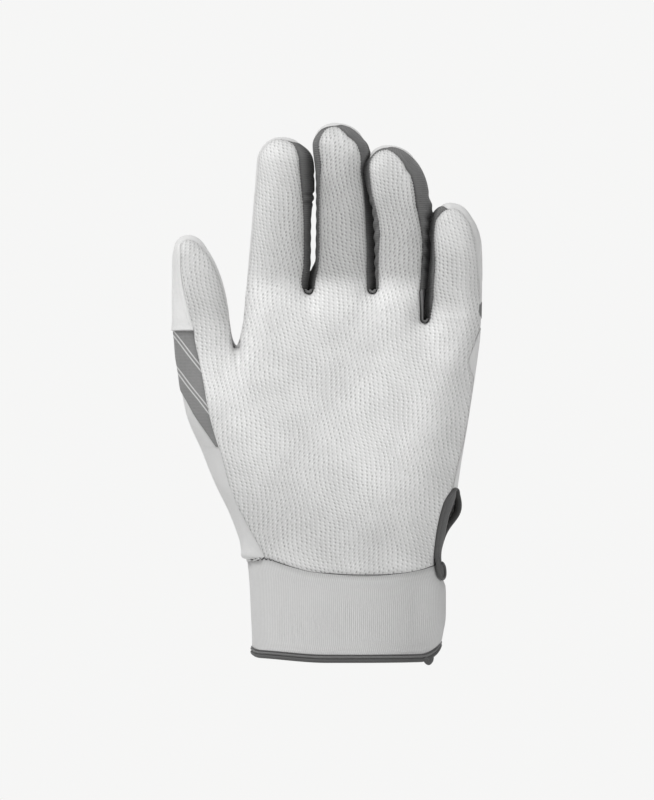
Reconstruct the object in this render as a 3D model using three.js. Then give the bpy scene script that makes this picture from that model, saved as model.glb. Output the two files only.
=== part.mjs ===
// Batting glove for the left hand, filled out as on a hand, with the fingers up.
// X runs from the thumb to the little finger, Y from the palm to the back, Z from the hem to the tips.
// The origin is the middle of the wrist opening. Lengths are in millimetres, angles in degrees.

import * as THREE from "three";

// Shell sizes
const LEATHER_THICKNESS = 1.2;
const STRETCH_THICKNESS = 1.2;
const CUFF_THICKNESS = 2.0;
const SEAM_GAP = 0.3;

// Cuff and hem
const HEM_WIDTH = 79;
const CUFF_WIDTH = 82.4;
const CUFF_HEIGHT = 43;
const CUFF_SEAM_DIP = 5;
const CUFF_WRAP = 15;
const HEM_HEIGHT = 3.4;
const HEM_FLAT = 8;
const HEM_OUTWARD = 0.8;
const HEM_INWARD = 2.4;

// Palm and fingers, seen from the palm side
const KNUCKLE_HEIGHT = 158;
const INDEX_OUTER_X = -42;
const INDEX_WIDTH = 26.8;
const MIDDLE_WIDTH = 23.9;
const RING_WIDTH = 22.4;
const LITTLE_WIDTH = 22.4;
const FINGER_GAP = 1.6;
const INDEX_TIP = 222.7;
const MIDDLE_TIP = 228;
const RING_TIP = 218.5;
const LITTLE_TIP = 193.8;
const LITTLE_DROP = 12.5;
const WEB_BELOW_CUT = 2;
const LEAN_SPAN = 48;
const GUSSET_LENGTH = 16;
const WEB_REVEAL = 1.6;
const BACK_REVEAL = 1.8;
const WALL_TAPER = 14;

// Thumb
const THUMB_OUTER_X = -73.6;
const THUMB_WIDTH = 25;
const THUMB_CUT = 140.7;
const THUMB_TIP = 180.2;
const THUMB_WEB = 134;
const THUMB_PANEL_FOOT = 91;
const THUMB_PANEL_TURN = 115;
const THUMB_PANEL_WRAP = 10;
const SIDE_WRAP = 12;
const SIDE_REACH = 24;

// Depth from the middle plane to the palm and to the back
const CUFF_FRONT_DEPTH = 23;
const PALM_FRONT_DEPTH = 24;
const KNUCKLE_FRONT_DEPTH = 12.5;
const FINGER_FRONT_DEPTH = 10.8;
const TIP_FRONT_DEPTH = 9.4;
const CUFF_BACK_DEPTH = 22;
const PALM_BACK_DEPTH = 19.5;
const KNUCKLE_BACK_DEPTH = 12;
const FINGER_BACK_DEPTH = 10.4;
const TIP_BACK_DEPTH = 8.8;
const THUMB_DEPTH = 10.5;
const WRIST_EDGE_RADIUS = 36;
const FINGER_EDGE_RADIUS = 10.2;

// Wrist slit on the little finger side
const SLIT_TOP = 74;
const SLIT_HALF_WIDTH = 3.2;
const SLIT_BINDING_RADIUS = 1.5;
const SLIT_CLOSING = 6;

// Closure strap with its patches and tab
const STRAP_BOTTOM = 6;
const STRAP_TOP = 35;
const STRAP_END_X = -18;
const STRAP_THICKNESS = 1.8;
const STRAP_ROOT_LIFT = 0.5;
const STRAP_LEVEL_X = 18;
const PATCH_THICKNESS = 1;
const PATCH_MARGIN = 3;
const HOOK_LENGTH = 23;
const LOOP_LENGTH = 40;
const TAB_LENGTH = 10;
const TAB_HEIGHT = 13;

const FRONT = -1;
const BACK = 1;
const HALF_GAP = SEAM_GAP / 2;
const QUARTER_TURN = 90;
const SEAM_TURN = 0.9;
const EDGE_INSET = 0.001;
const LOOP_LIFT = 1.5 * SEAM_GAP;
const HOOK_LIFT = LOOP_LIFT + PATCH_THICKNESS + SEAM_GAP;
const STRAP_END_LIFT = HOOK_LIFT + PATCH_THICKNESS + 1.5 * SEAM_GAP;
const RAD = Math.PI / 180;

const { lerp, clamp, smoothstep } = THREE.MathUtils;

// A smooth curve through points that are given as pairs of height and value.
function curveThrough(points) {
  const slope = (k) => {
    const low = points[Math.max(k - 1, 0)];
    const high = points[Math.min(k + 1, points.length - 1)];
    return (high[1] - low[1]) / (high[0] - low[0]);
  };
  return (height) => {
    const h = clamp(height, points[0][0], points[points.length - 1][0]);
    let k = 0;
    while (k < points.length - 2 && h > points[k + 1][0]) k += 1;
    const span = points[k + 1][0] - points[k][0];
    const t = (h - points[k][0]) / span;
    const ends = points[k][1] * (2 * t ** 3 - 3 * t ** 2 + 1) + points[k + 1][1] * (3 * t ** 2 - 2 * t ** 3);
    const leans = slope(k) * (t ** 3 - 2 * t ** 2 + t) + slope(k + 1) * (t ** 3 - t ** 2);
    return ends + leans * span;
  };
}

// A point of an edge between two corners, given as shares of the way up and across.
function shares(low, high, list) {
  return list.map(([up, over]) => [lerp(low[0], high[0], up), lerp(low[1], high[1], over)]);
}

// Lines between the fingers: each leans and bows a little on its way up.
function fingerLine(base, lean, bow) {
  return (z) => {
    const h = (z - KNUCKLE_HEIGHT) / LEAN_SPAN;
    return base + lean * h + bow * 4 * h * (1 - h);
  };
}
const indexEnd = INDEX_OUTER_X + INDEX_WIDTH + FINGER_GAP / 2;
const middleEnd = indexEnd + MIDDLE_WIDTH + FINGER_GAP;
const ringEnd = middleEnd + RING_WIDTH + FINGER_GAP;
const littleEnd = ringEnd + LITTLE_WIDTH + FINGER_GAP / 2;
const fingerLines = [
  fingerLine(INDEX_OUTER_X, 4, 0),
  fingerLine(indexEnd, 0.75, 0.45),
  fingerLine(middleEnd, -2.3, 0.8),
  fingerLine(ringEnd, 2.4, 0),
  fingerLine(littleEnd, -2.2, 0.6),
];
const littleCut = KNUCKLE_HEIGHT - LITTLE_DROP;

// Outer edges of the hand, from the hem to the thumb and to the little finger.
const leftCorner = [CUFF_HEIGHT - 5, -CUFF_WIDTH / 2];
const rightCorner = [CUFF_HEIGHT - 5, CUFF_WIDTH / 2];
const thumbLeft = [THUMB_CUT + 9, THUMB_OUTER_X];
const leftEdge = curveThrough([
  [0, -HEM_WIDTH / 2],
  [HEM_FLAT, -HEM_WIDTH / 2],
  ...shares(leftCorner, thumbLeft, [[0, 0], [0.08, 0.06], [0.32, 0.42], [0.6, 0.82], [0.83, 0.97], [1, 1]]),
  [THUMB_TIP, THUMB_OUTER_X + 0.3],
]);
const littleFoot = [littleCut, fingerLines[4](littleCut)];
const rightEdge = curveThrough([
  [0, HEM_WIDTH / 2],
  [HEM_FLAT, HEM_WIDTH / 2],
  ...shares(rightCorner, littleFoot, [[0, 0], [0.075, 0], [0.26, 0.32], [0.43, 0.49], [0.62, 0.69], [0.9, 0.95], [1, 1]]),
]);

// Fingers: edges below the rounded tip, the tip, and how much of the side wall shows beside each panel.
function finger(name, left, right, cut, tip, apex, roundLeft, roundRight, reveal) {
  const apexX = lerp(left(tip), right(tip), apex);
  const rounded = (line, length) => (z) => {
    const rise = clamp((z - (tip - length)) / length, 0, 1);
    return lerp(apexX, line(z), Math.sqrt(1 - rise * rise));
  };
  const leftOf = rounded(left, roundLeft);
  const rightOf = rounded(right, roundRight);
  const spineTop = tip - (right(tip) - left(tip)) * 0.42;
  const spine = (z) => {
    const height = Math.min(z, spineTop);
    return { x: (leftOf(height) + rightOf(height)) / 2, z: height };
  };
  return { name, cut, tip, apexX, leftOf, rightOf, spine, reveal };
}
const inset = (line, by) => (z) => line(z) + by;
const half = FINGER_GAP / 2;
const fingers = [
  finger("index", fingerLines[0], inset(fingerLines[1], -half), KNUCKLE_HEIGHT, INDEX_TIP, 0.42, 10, 13,
    { left: 0.6, right: 4, tip: 0.7, outer: "left" }),
  finger("middle", inset(fingerLines[1], half), inset(fingerLines[2], -half), KNUCKLE_HEIGHT, MIDDLE_TIP, 0.5, 11, 11,
    { left: 1.5, right: 3, tip: 1.2, outer: "none" }),
  finger("ring", inset(fingerLines[2], half), inset(fingerLines[3], -half), KNUCKLE_HEIGHT, RING_TIP, 0.34, 11, 24,
    { left: 1.8, right: 4.5, tip: 1.5, outer: "none" }),
  finger("little", inset(fingerLines[3], half), fingerLines[4], littleCut, LITTLE_TIP, 0.36, 12, 18,
    { left: 2, right: 2.2, tip: 1.4, outer: "right" }),
];
const thumbRight = (z) => THUMB_OUTER_X + THUMB_WIDTH - 0.1 * (z - THUMB_CUT);
const thumb = finger("thumb", leftEdge, thumbRight, THUMB_CUT, THUMB_TIP, 0.32, 9, 32,
  { left: 8.5, right: 0.4, tip: 1.2, outer: "both" });

// Heights along a finger, closer together towards the tip.
function heights(from, tip, count) {
  return Array.from({ length: count + 1 }, (_, k) => tip - (tip - from) * (1 - k / count) ** 1.7);
}

// The outline of the filled glove in the XZ plane, from the hem up the thumb side and down the other side.
const OUTLINE_STEPS = 36;
function arch(f, leftFrom, rightFrom) {
  const up = heights(leftFrom, f.tip, OUTLINE_STEPS).map((z) => ({ x: f.leftOf(z), z }));
  const down = heights(rightFrom, f.tip, OUTLINE_STEPS).map((z) => ({ x: f.rightOf(z), z }));
  return [...up, ...down.reverse().slice(1)];
}
const webs = [0, 1, 2].map((k) => {
  const cut = fingers[k + 1].cut;
  const z = cut - WEB_BELOW_CUT + half;
  return { left: fingers[k], right: fingers[k + 1], x: fingerLines[k + 1](z), z };
});
const BELOW_HEM = -30;
const EDGE_STEPS = 160;
function edgePoints(edge, from, to) {
  return Array.from({ length: EDGE_STEPS + 1 }, (_, k) => {
    const z = lerp(from, to, k / EDGE_STEPS);
    return { x: edge(z), z };
  });
}
function webFloor(web) {
  return [216, 243, 270, 297, 324].map((turn) => ({
    x: web.x + half * Math.cos(turn * RAD),
    z: web.z + half * Math.sin(turn * RAD),
  }));
}
const outline = [
  { x: leftEdge(0), z: BELOW_HEM },
  ...edgePoints(leftEdge, 0, THUMB_CUT),
  ...arch(thumb, THUMB_CUT + 0.5, THUMB_WEB + 1),
  { x: (thumbRight(THUMB_WEB) + fingerLines[0](THUMB_WEB)) / 2, z: THUMB_WEB },
  ...arch(fingers[0], THUMB_WEB + 1, webs[0].z),
  ...webFloor(webs[0]),
  ...arch(fingers[1], webs[0].z, webs[1].z),
  ...webFloor(webs[1]),
  ...arch(fingers[2], webs[1].z, webs[2].z),
  ...webFloor(webs[2]),
  ...arch(fingers[3], webs[2].z, littleCut + 0.5),
  ...edgePoints(rightEdge, littleCut, 0),
  { x: rightEdge(0), z: BELOW_HEM },
];

// The nearest place on the outline, how far inside it a point lies, and the way in.
function nearest(point) {
  let best = { distance: Infinity };
  for (let k = 0; k + 1 < outline.length; k += 1) {
    const a = outline[k];
    const runX = outline[k + 1].x - a.x;
    const runZ = outline[k + 1].z - a.z;
    const length = Math.hypot(runX, runZ);
    if (length < 1e-9) continue;
    const along = clamp(((point.x - a.x) * runX + (point.z - a.z) * runZ) / length ** 2, 0, 1);
    const offX = point.x - (a.x + along * runX);
    const offZ = point.z - (a.z + along * runZ);
    const distance = Math.hypot(offX, offZ);
    if (distance < best.distance) best = { distance, offX, offZ, wayX: runZ / length, wayZ: -runX / length };
  }
  const inward = best.offX * best.wayX + best.offZ * best.wayZ;
  if (inward < 0.02) return { distance: Math.max(inward, 0), inX: best.wayX, inZ: best.wayZ };
  return { distance: best.distance, inX: best.offX / best.distance, inZ: best.offZ / best.distance };
}

// Share of the thumb at a place, and the width of the rounded edge there.
function thumbShare(point) {
  return smoothstep(-point.x, 43, 52) * smoothstep(point.z, THUMB_WEB - 30, THUMB_CUT);
}
function edgeRadius(point) {
  const hand = lerp(WRIST_EDGE_RADIUS, FINGER_EDGE_RADIUS, smoothstep(point.z, CUFF_HEIGHT, KNUCKLE_HEIGHT - 6));
  const little = 1 - 0.1 * smoothstep(point.x, 33, 39) * smoothstep(point.z, 120, littleCut);
  return hand * little * (1 - 0.2 * thumbShare(point));
}
const frontDepth = curveThrough([
  [0, CUFF_FRONT_DEPTH], [CUFF_HEIGHT, CUFF_FRONT_DEPTH], [62, PALM_FRONT_DEPTH],
  [95, lerp(PALM_FRONT_DEPTH, KNUCKLE_FRONT_DEPTH, 0.3)], [125, lerp(PALM_FRONT_DEPTH, KNUCKLE_FRONT_DEPTH, 0.66)],
  [152, KNUCKLE_FRONT_DEPTH], [172, FINGER_FRONT_DEPTH], [228, TIP_FRONT_DEPTH],
]);
const backDepth = curveThrough([
  [0, CUFF_BACK_DEPTH], [CUFF_HEIGHT, CUFF_BACK_DEPTH], [66, PALM_BACK_DEPTH],
  [110, lerp(PALM_BACK_DEPTH, KNUCKLE_BACK_DEPTH, 0.4)],
  [152, KNUCKLE_BACK_DEPTH], [172, FINGER_BACK_DEPTH], [228, TIP_BACK_DEPTH],
]);
function swell(point, x, z, spreadX, spreadZ) {
  return Math.exp(-(((point.x - x) / spreadX) ** 2) - ((point.z - z) / spreadZ) ** 2);
}
function depth(point, side) {
  const flat = side === FRONT ? frontDepth(point.z) : backDepth(point.z);
  const balls = side === FRONT
    ? 3.5 * swell(point, -38, 88, 22, 30) + 2 * swell(point, 34, 80, 20, 30) - 1.5 * swell(point, 4, 108, 22, 26)
    : 0;
  return lerp(flat + balls, THUMB_DEPTH, thumbShare(point));
}

// A spot is a place in the XZ plane, the side of the glove it is on, and how far it is lifted off.
function spot(x, z, side, lift = 0) {
  return { x, z, side, lift };
}
function onSkin(at, offset) {
  const edge = nearest(at);
  const radius = edgeRadius(at);
  const outward = edge.distance < radius ? 1 - edge.distance / radius : 0;
  const away = offset + at.lift;
  return new THREE.Vector3(
    at.x - edge.inX * outward * away,
    at.side * (depth(at, at.side) + away) * Math.sqrt(1 - outward ** 2),
    at.z - edge.inZ * outward * away,
  );
}

// A closed sheet made of one or more grids of spots, with an outer face, an inner face and a rim.
class Sheet {
  constructor(outer, inner) {
    this.outer = outer;
    this.inner = inner;
    this.spots = new Map();
    this.list = [];
    this.triangles = [];
  }

  place(at) {
    const key = [at.x.toFixed(3), at.z.toFixed(3), at.side].join(" ");
    if (!this.spots.has(key)) {
      this.spots.set(key, this.list.length);
      this.list.push(at);
    }
    return this.spots.get(key);
  }

  triangle(a, b, c) {
    if (a !== b && b !== c && a !== c) this.triangles.push([a, b, c]);
  }

  grid(rows) {
    const places = rows.map((row) => row.map((at) => this.place(at)));
    for (let i = 0; i + 1 < places.length; i += 1) {
      for (let j = 0; j + 1 < places[i].length; j += 1) {
        this.triangle(places[i][j], places[i][j + 1], places[i + 1][j + 1]);
        this.triangle(places[i][j], places[i + 1][j + 1], places[i + 1][j]);
      }
    }
    return this;
  }

  geometry() {
    const count = this.list.length;
    const corners = [
      ...this.list.map((at) => onSkin(at, this.outer)),
      ...this.list.map((at) => onSkin(at, this.inner)),
    ];
    const edges = new Set(this.triangles.flatMap(([a, b, c]) => [`${a} ${b}`, `${b} ${c}`, `${c} ${a}`]));
    const faces = [];
    for (const [a, b, c] of this.triangles) {
      faces.push([a, b, c], [a + count, c + count, b + count]);
      for (const [from, to] of [[a, b], [b, c], [c, a]]) {
        if (edges.has(`${to} ${from}`)) continue;
        faces.push([to, from, from + count], [to, from + count, to + count]);
      }
    }
    return closedGeometry(corners, faces);
  }
}

// An indexed geometry whose faces point outward.
function closedGeometry(corners, faces) {
  const volume = faces.reduce(
    (sum, [a, b, c]) => sum + corners[a].dot(corners[b].clone().cross(corners[c])), 0);
  const index = faces.flatMap(([a, b, c]) => (volume < 0 ? [a, c, b] : [a, b, c]));
  const geometry = new THREE.BufferGeometry().setFromPoints(corners);
  geometry.setIndex(index);
  geometry.computeVertexNormals();
  return geometry;
}

// The turn around a rounded edge that brings a seam a given distance in from the outline.
function turnFor(distance, reach) {
  return Math.acos(1 - clamp(distance / reach, 0, 1)) / RAD;
}
function gapTurn(reach) {
  return HALF_GAP / reach / RAD;
}

// A spot between an edge point and an inner point, at a turn around the edge. A negative turn is on the other side.
function aroundEdge(edge, inner, turn, side, lift = 0) {
  const share = 1 - Math.cos(turn * RAD);
  return spot(lerp(edge.x, inner.x, share), lerp(edge.z, inner.z, share), turn < 0 ? -side : side, lift);
}

// A row of spots across the glove at one height, from the left seam over the middle to the right seam.
function acrossRow(left, right, side, leftTurn, rightTurn, steps) {
  const middle = { x: (left.x + right.x) / 2, z: (left.z + right.z) / 2 };
  const row = [];
  for (let k = 0; k <= steps; k += 1) {
    row.push(aroundEdge(left, middle, lerp(leftTurn, QUARTER_TURN, k / steps), side));
  }
  for (let k = steps - 1; k >= 0; k -= 1) {
    row.push(aroundEdge(right, middle, lerp(rightTurn, QUARTER_TURN, k / steps), side));
  }
  return row;
}

// Where the seam lies beside a finger: how much of the edge is left to the side wall or to the other panel.
function revealAt(f, half, z) {
  return lerp(f.reveal[half], f.reveal.tip, smoothstep(z, f.tip - 20, f.tip));
}
function hasWall(f, half) {
  return f.reveal.outer !== "both" && f.reveal.outer !== half;
}
function panelTurn(f, half, z, side, reach) {
  if (side === FRONT) return turnFor(revealAt(f, half, z), reach) + gapTurn(reach);
  return backTurn(f, half, z, reach) + gapTurn(reach);
}

// The back seam runs beside the side wall, and meets the front seam where there is no wall.
function backTurn(f, half, z, reach) {
  const frontSeam = -turnFor(revealAt(f, half, z), reach);
  if (!hasWall(f, half)) return frontSeam;
  const closing = f.reveal.outer === "none" ? 0 : smoothstep(z, f.tip - WALL_TAPER, f.tip);
  return lerp(turnFor(BACK_REVEAL, reach), frontSeam, closing);
}

// The edge of a finger from one base over the tip to the other base.
const ARCH_STEPS = 8;
function fingerArch(f, from) {
  const list = [from, ...heights(f.cut, f.tip, ARCH_STEPS).filter((z) => z > from + 1)];
  const left = list.map((z) => ({ half: "left", edge: { x: f.leftOf(z), z } }));
  const right = list.map((z) => ({ half: "right", edge: { x: f.rightOf(z), z } }));
  return [...left.slice(0, -1), ...right.reverse()];
}
const PANEL_ROWS = 4;
function fingerPanel(f, side, from) {
  const columns = fingerArch(f, from).map(({ half, edge }) => {
    const inner = f.spine(edge.z);
    const reach = Math.hypot(inner.x - edge.x, inner.z - edge.z);
    const start = panelTurn(f, half, edge.z, side, reach);
    return Array.from({ length: PANEL_ROWS + 1 }, (_, k) =>
      aroundEdge(edge, inner, lerp(start, QUARTER_TURN, k / PANEL_ROWS), side));
  });
  return new Sheet(0, -LEATHER_THICKNESS).grid(columns).geometry();
}
const WALL_ROWS = 4;
function fingerWall(f) {
  const columns = fingerArch(f, f.cut + HALF_GAP)
    .filter(({ half, edge }) => hasWall(f, half) && (f.reveal.outer === "none" || edge.z < f.tip - 0.5));
  return new Sheet(0, -STRETCH_THICKNESS).grid(columns.map(({ half, edge }) => {
    const inner = f.spine(edge.z);
    const reach = Math.hypot(inner.x - edge.x, inner.z - edge.z);
    const front = gapTurn(reach) - turnFor(revealAt(f, half, edge.z), reach);
    const back = Math.max(backTurn(f, half, edge.z, reach) - gapTurn(reach), front + gapTurn(reach));
    return Array.from({ length: WALL_ROWS + 1 }, (_, k) =>
      aroundEdge(edge, inner, lerp(front, back, k / WALL_ROWS), BACK));
  })).geometry();
}

// The stretch gusset over each knuckle, on the back between the hand and the finger.
function knuckleGusset(f) {
  const rows = [0, 0.34, 0.67, 1].map((share) => {
    const z = lerp(f.cut + HALF_GAP, f.cut + GUSSET_LENGTH - HALF_GAP, share);
    const left = { x: f.leftOf(z), z };
    const right = { x: f.rightOf(z), z };
    const reach = (right.x - left.x) / 2;
    return acrossRow(left, right, BACK, panelTurn(f, "left", z, BACK, reach), panelTurn(f, "right", z, BACK, reach), 4);
  });
  return new Sheet(0, -STRETCH_THICKNESS).grid(rows).geometry();
}

// The fork of a web: down the side of one finger, round the floor and up the side of the next.
function forkPath(web, side) {
  const revealOf = (f, half, z) => (side === FRONT ? revealAt(f, half, z) : BACK_REVEAL);
  const floorReveal = side === FRONT ? WEB_REVEAL : BACK_REVEAL;
  const leftTop = web.left.cut - HALF_GAP;
  const rightTop = web.right.cut - HALF_GAP;
  const drop = Math.round((leftTop - web.z) / 5);
  const path = [{ x: web.left.rightOf(leftTop), z: leftTop, inX: -1, inZ: 0, reveal: revealOf(web.left, "right", leftTop) }];
  for (let k = 1; k < drop; k += 1) {
    const z = lerp(leftTop, web.z, k / drop);
    const reveal = lerp(revealOf(web.left, "right", z), floorReveal, k / drop);
    path.push({ x: web.left.rightOf(z), z, inX: -1, inZ: 0, reveal });
  }
  for (const turn of [195, 232, 270, 308, 345]) {
    const inX = Math.cos(turn * RAD);
    const inZ = Math.sin(turn * RAD);
    path.push({ x: web.x + half * inX, z: web.z + half * inZ, inX, inZ, reveal: floorReveal });
  }
  path.push({ x: web.right.leftOf(rightTop), z: rightTop, inX: 1, inZ: 0, reveal: revealOf(web.right, "left", rightTop) });
  return path;
}
function insidePath(at, distance) {
  return { x: at.x + at.inX * distance, z: at.z + at.inZ * distance };
}
const FORK_SHARES = [1, 0.55, 0.2, 0];
function fingerFork(web) {
  const front = forkPath(web, FRONT);
  const back = forkPath(web, BACK);
  const columns = front.map((at, k) => {
    const rows = FORK_SHARES.map((share) => {
      const place = insidePath(at, Math.max(at.reveal - HALF_GAP, 0.2) * share);
      return spot(place.x, place.z, FRONT);
    });
    const behind = FORK_SHARES.slice(0, -1).reverse().map((share) => {
      const place = insidePath(back[k], (back[k].reveal - HALF_GAP) * share);
      return spot(place.x, place.z, BACK);
    });
    return [...rows, ...behind];
  });
  return new Sheet(0, -STRETCH_THICKNESS).grid(columns).geometry();
}

// The seam between the cuff and the hand, lowest in the middle of the palm.
function cuffSeam(x) {
  const over = clamp(x / (CUFF_WIDTH / 2), -1, 1);
  return CUFF_HEIGHT - CUFF_SEAM_DIP * (1 - over ** 2);
}

// A grid between four boundary lines.
function coonsGrid(bottom, top, left, right, side) {
  const columns = bottom.length - 1;
  const rows = left.length - 1;
  const mix = (key, i, j) => {
    const u = j / columns;
    const v = i / rows;
    const ruled = lerp(bottom[j][key], top[j][key], v) + lerp(left[i][key], right[i][key], u);
    const corners = lerp(lerp(bottom[0][key], bottom[columns][key], u), lerp(top[0][key], top[columns][key], u), v);
    return ruled - corners;
  };
  return left.map((_, i) => bottom.map((__, j) => spot(mix("x", i, j), mix("z", i, j), side)));
}
function line(from, to, steps) {
  return Array.from({ length: steps + 1 }, (_, k) => ({
    x: lerp(from.x, to.x, k / steps),
    z: lerp(from.z, to.z, k / steps),
  }));
}

// The top of the palm or of the back: across each finger, and round each fork.
const FINGER_STEPS = 3;
function knuckleLine(side) {
  const points = [];
  fingers.forEach((f, k) => {
    const z = f.cut - HALF_GAP;
    const left = f.leftOf(z);
    const right = f.rightOf(z);
    const insetOf = (half) => {
      if (hasWall(f, half)) return (side === FRONT ? revealAt(f, half, z) : BACK_REVEAL) + HALF_GAP;
      return EDGE_INSET;
    };
    points.push(...line({ x: left + insetOf("left"), z }, { x: right - insetOf("right"), z }, FINGER_STEPS));
    if (k < webs.length) {
      points.push(...forkPath(webs[k], side).slice(1, -1).map((at) => insidePath(at, at.reveal + HALF_GAP)));
    }
  });
  return points;
}

// The front seam of the thumb side, as a distance in from the outer edge.
const frontSeamInset = curveThrough([
  [CUFF_HEIGHT, 8.2], [68, 5.4], [THUMB_PANEL_FOOT, 8.7], [118, 10.8], [THUMB_CUT, 8.8],
]);
function seamPoint(z, side) {
  const insetNow = side === FRONT ? frontSeamInset(z) : SIDE_WRAP;
  return { x: leftEdge(z) + insetNow + SEAM_GAP, z };
}

// Palm and back: a main grid under the fingers and a grid under the thumb, which meet along one line.
const WEB_ROW = 7;
const TOP_ROWS = 2;
const SLIT_ROWS = 3;
const THUMB_COLUMNS = 5;
const THENAR_FOOT_X = -22;
function slitInset(z, side) {
  const open = 1 - smoothstep(z, SLIT_TOP, SLIT_TOP + SLIT_CLOSING);
  const away = (SLIT_HALF_WIDTH + SLIT_BINDING_RADIUS + SEAM_GAP) * open;
  const at = { x: rightEdge(z) - 2, z };
  return edgeRadius(at) * (1 - Math.cos(Math.asin(clamp(away / depth(at, side), 0, 1))));
}
function handGrids(side, seam) {
  const lift = SEAM_GAP;
  const webPoint = { x: (thumbRight(THUMB_WEB) + fingerLines[0](THUMB_WEB)) / 2, z: THUMB_WEB - 0.02 };
  const foot = { x: THENAR_FOOT_X, z: cuffSeam(THENAR_FOOT_X) + lift };
  const indexTop = KNUCKLE_HEIGHT - HALF_GAP;
  const indexEdge = line(webPoint, { x: 0, z: indexTop }, TOP_ROWS).slice(1);
  const left = [
    ...line(foot, webPoint, WEB_ROW),
    ...indexEdge.map(({ z }) => ({ x: fingers[0].leftOf(z) + EDGE_INSET, z })),
  ];
  const slitRows = line({ x: 0, z: CUFF_HEIGHT + lift }, { x: 0, z: SLIT_TOP }, SLIT_ROWS);
  const closed = line({ x: 0, z: SLIT_TOP + SLIT_CLOSING }, { x: 0, z: littleCut - HALF_GAP }, left.length - SLIT_ROWS - 2);
  const right = [...slitRows, ...closed]
    .map(({ z }) => ({ x: rightEdge(z) - EDGE_INSET - slitInset(z, side), z }));
  const top = knuckleLine(side);
  const bottom = line(foot, right[0], top.length - 1).map(({ x }) => ({ x, z: cuffSeam(x) + lift }));
  const thumbTop = THUMB_CUT - HALF_GAP;
  const outer = line({ x: 0, z: CUFF_HEIGHT }, { x: 0, z: thumbTop }, WEB_ROW).map(({ z }) => seamPoint(z, side));
  outer[0].z = cuffSeam(outer[0].x) + lift;
  const acrossThumb = line(outer[WEB_ROW], { x: thumbRight(thumbTop) - EDGE_INSET, z: thumbTop }, THUMB_COLUMNS - 1);
  const meeting = left.slice(0, WEB_ROW + 1).map(({ x, z }) => ({ x: x - seam, z }));
  const thumbFoot = line(outer[0], meeting[0], THUMB_COLUMNS).map(({ x }) => ({ x, z: cuffSeam(x) + lift }));
  return {
    main: coonsGrid(bottom, top, left, right, side),
    thumb: coonsGrid(thumbFoot, [...acrossThumb, meeting[WEB_ROW]], outer, meeting, side),
  };
}
function leatherPanel(...grids) {
  const sheet = new Sheet(0, -LEATHER_THICKNESS);
  grids.forEach((grid) => sheet.grid(grid));
  return sheet.geometry();
}

// The thumb side below the thumb: a stretch panel on top and a plain gusset from there down to the cuff.
function sideRow(z, fromDistance, toDistance, steps) {
  const signedTurn = (distance) => Math.sign(distance) * turnFor(Math.abs(distance), SIDE_REACH);
  return Array.from({ length: steps + 1 }, (_, k) => {
    const turn = lerp(signedTurn(fromDistance), signedTurn(toDistance), k / steps);
    const distance = SIDE_REACH * (1 - Math.cos(turn * RAD));
    return spot(leftEdge(z) + distance, z, turn < 0 ? FRONT : BACK);
  });
}
const panelBackEdge = curveThrough([
  [THUMB_PANEL_FOOT, -frontSeamInset(THUMB_PANEL_FOOT) + 1], [THUMB_PANEL_TURN, 0], [THUMB_CUT, THUMB_PANEL_WRAP],
]);
const SIDE_STEPS = 6;
const panelHeights = line({ x: 0, z: THUMB_PANEL_FOOT }, { x: 0, z: THUMB_CUT - HALF_GAP }, 8).map(({ z }) => z);
function thumbSidePanel() {
  const rows = panelHeights.map((z) =>
    sideRow(z, HALF_GAP - frontSeamInset(z), panelBackEdge(z) - HALF_GAP, SIDE_STEPS));
  return new Sheet(0, -STRETCH_THICKNESS).grid(rows).geometry();
}
function sideGusset() {
  const lower = line({ x: 0, z: CUFF_HEIGHT + SEAM_GAP }, { x: 0, z: THUMB_PANEL_FOOT - SEAM_GAP }, 5).map(({ z }) =>
    sideRow(z, HALF_GAP - frontSeamInset(z), SIDE_WRAP - HALF_GAP, SIDE_STEPS));
  lower[0] = lower[0].map((at) => spot(at.x, cuffSeam(at.x) + SEAM_GAP, at.side));
  const upper = panelHeights.map((z) =>
    sideRow(z, panelBackEdge(z) + HALF_GAP, SIDE_WRAP - HALF_GAP, SIDE_STEPS));
  return new Sheet(0, -LEATHER_THICKNESS).grid([...lower, ...upper]).geometry();
}

// The cuff and the hem binding: a front piece that wraps round the thumb side, and a back piece.
const CUFF_STEPS = 8;
function cuffRow(z, side) {
  const reach = CUFF_WIDTH / 2;
  const wrap = turnFor(CUFF_WRAP, reach);
  const leftTurn = side === FRONT ? gapTurn(reach) - wrap : gapTurn(reach) + wrap;
  return acrossRow({ x: leftEdge(z), z }, { x: rightEdge(z), z }, side, leftTurn, SEAM_TURN, CUFF_STEPS);
}
function cuffPiece(side) {
  const foot = HEM_HEIGHT + SEAM_GAP;
  const rows = [0, 0.35, 0.7, 1].map((share) =>
    cuffRow(lerp(foot, CUFF_HEIGHT, share), side).map((at) =>
      spot(at.x, lerp(foot, cuffSeam(at.x), share), at.side)));
  return new Sheet(0, -CUFF_THICKNESS).grid(rows).geometry();
}
function hemPiece(side) {
  const rows = [0, HEM_HEIGHT].map((z) => cuffRow(0, side).map((at) => spot(at.x, z, at.side)));
  return new Sheet(HEM_OUTWARD, -HEM_INWARD).grid(rows).geometry();
}

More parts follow.
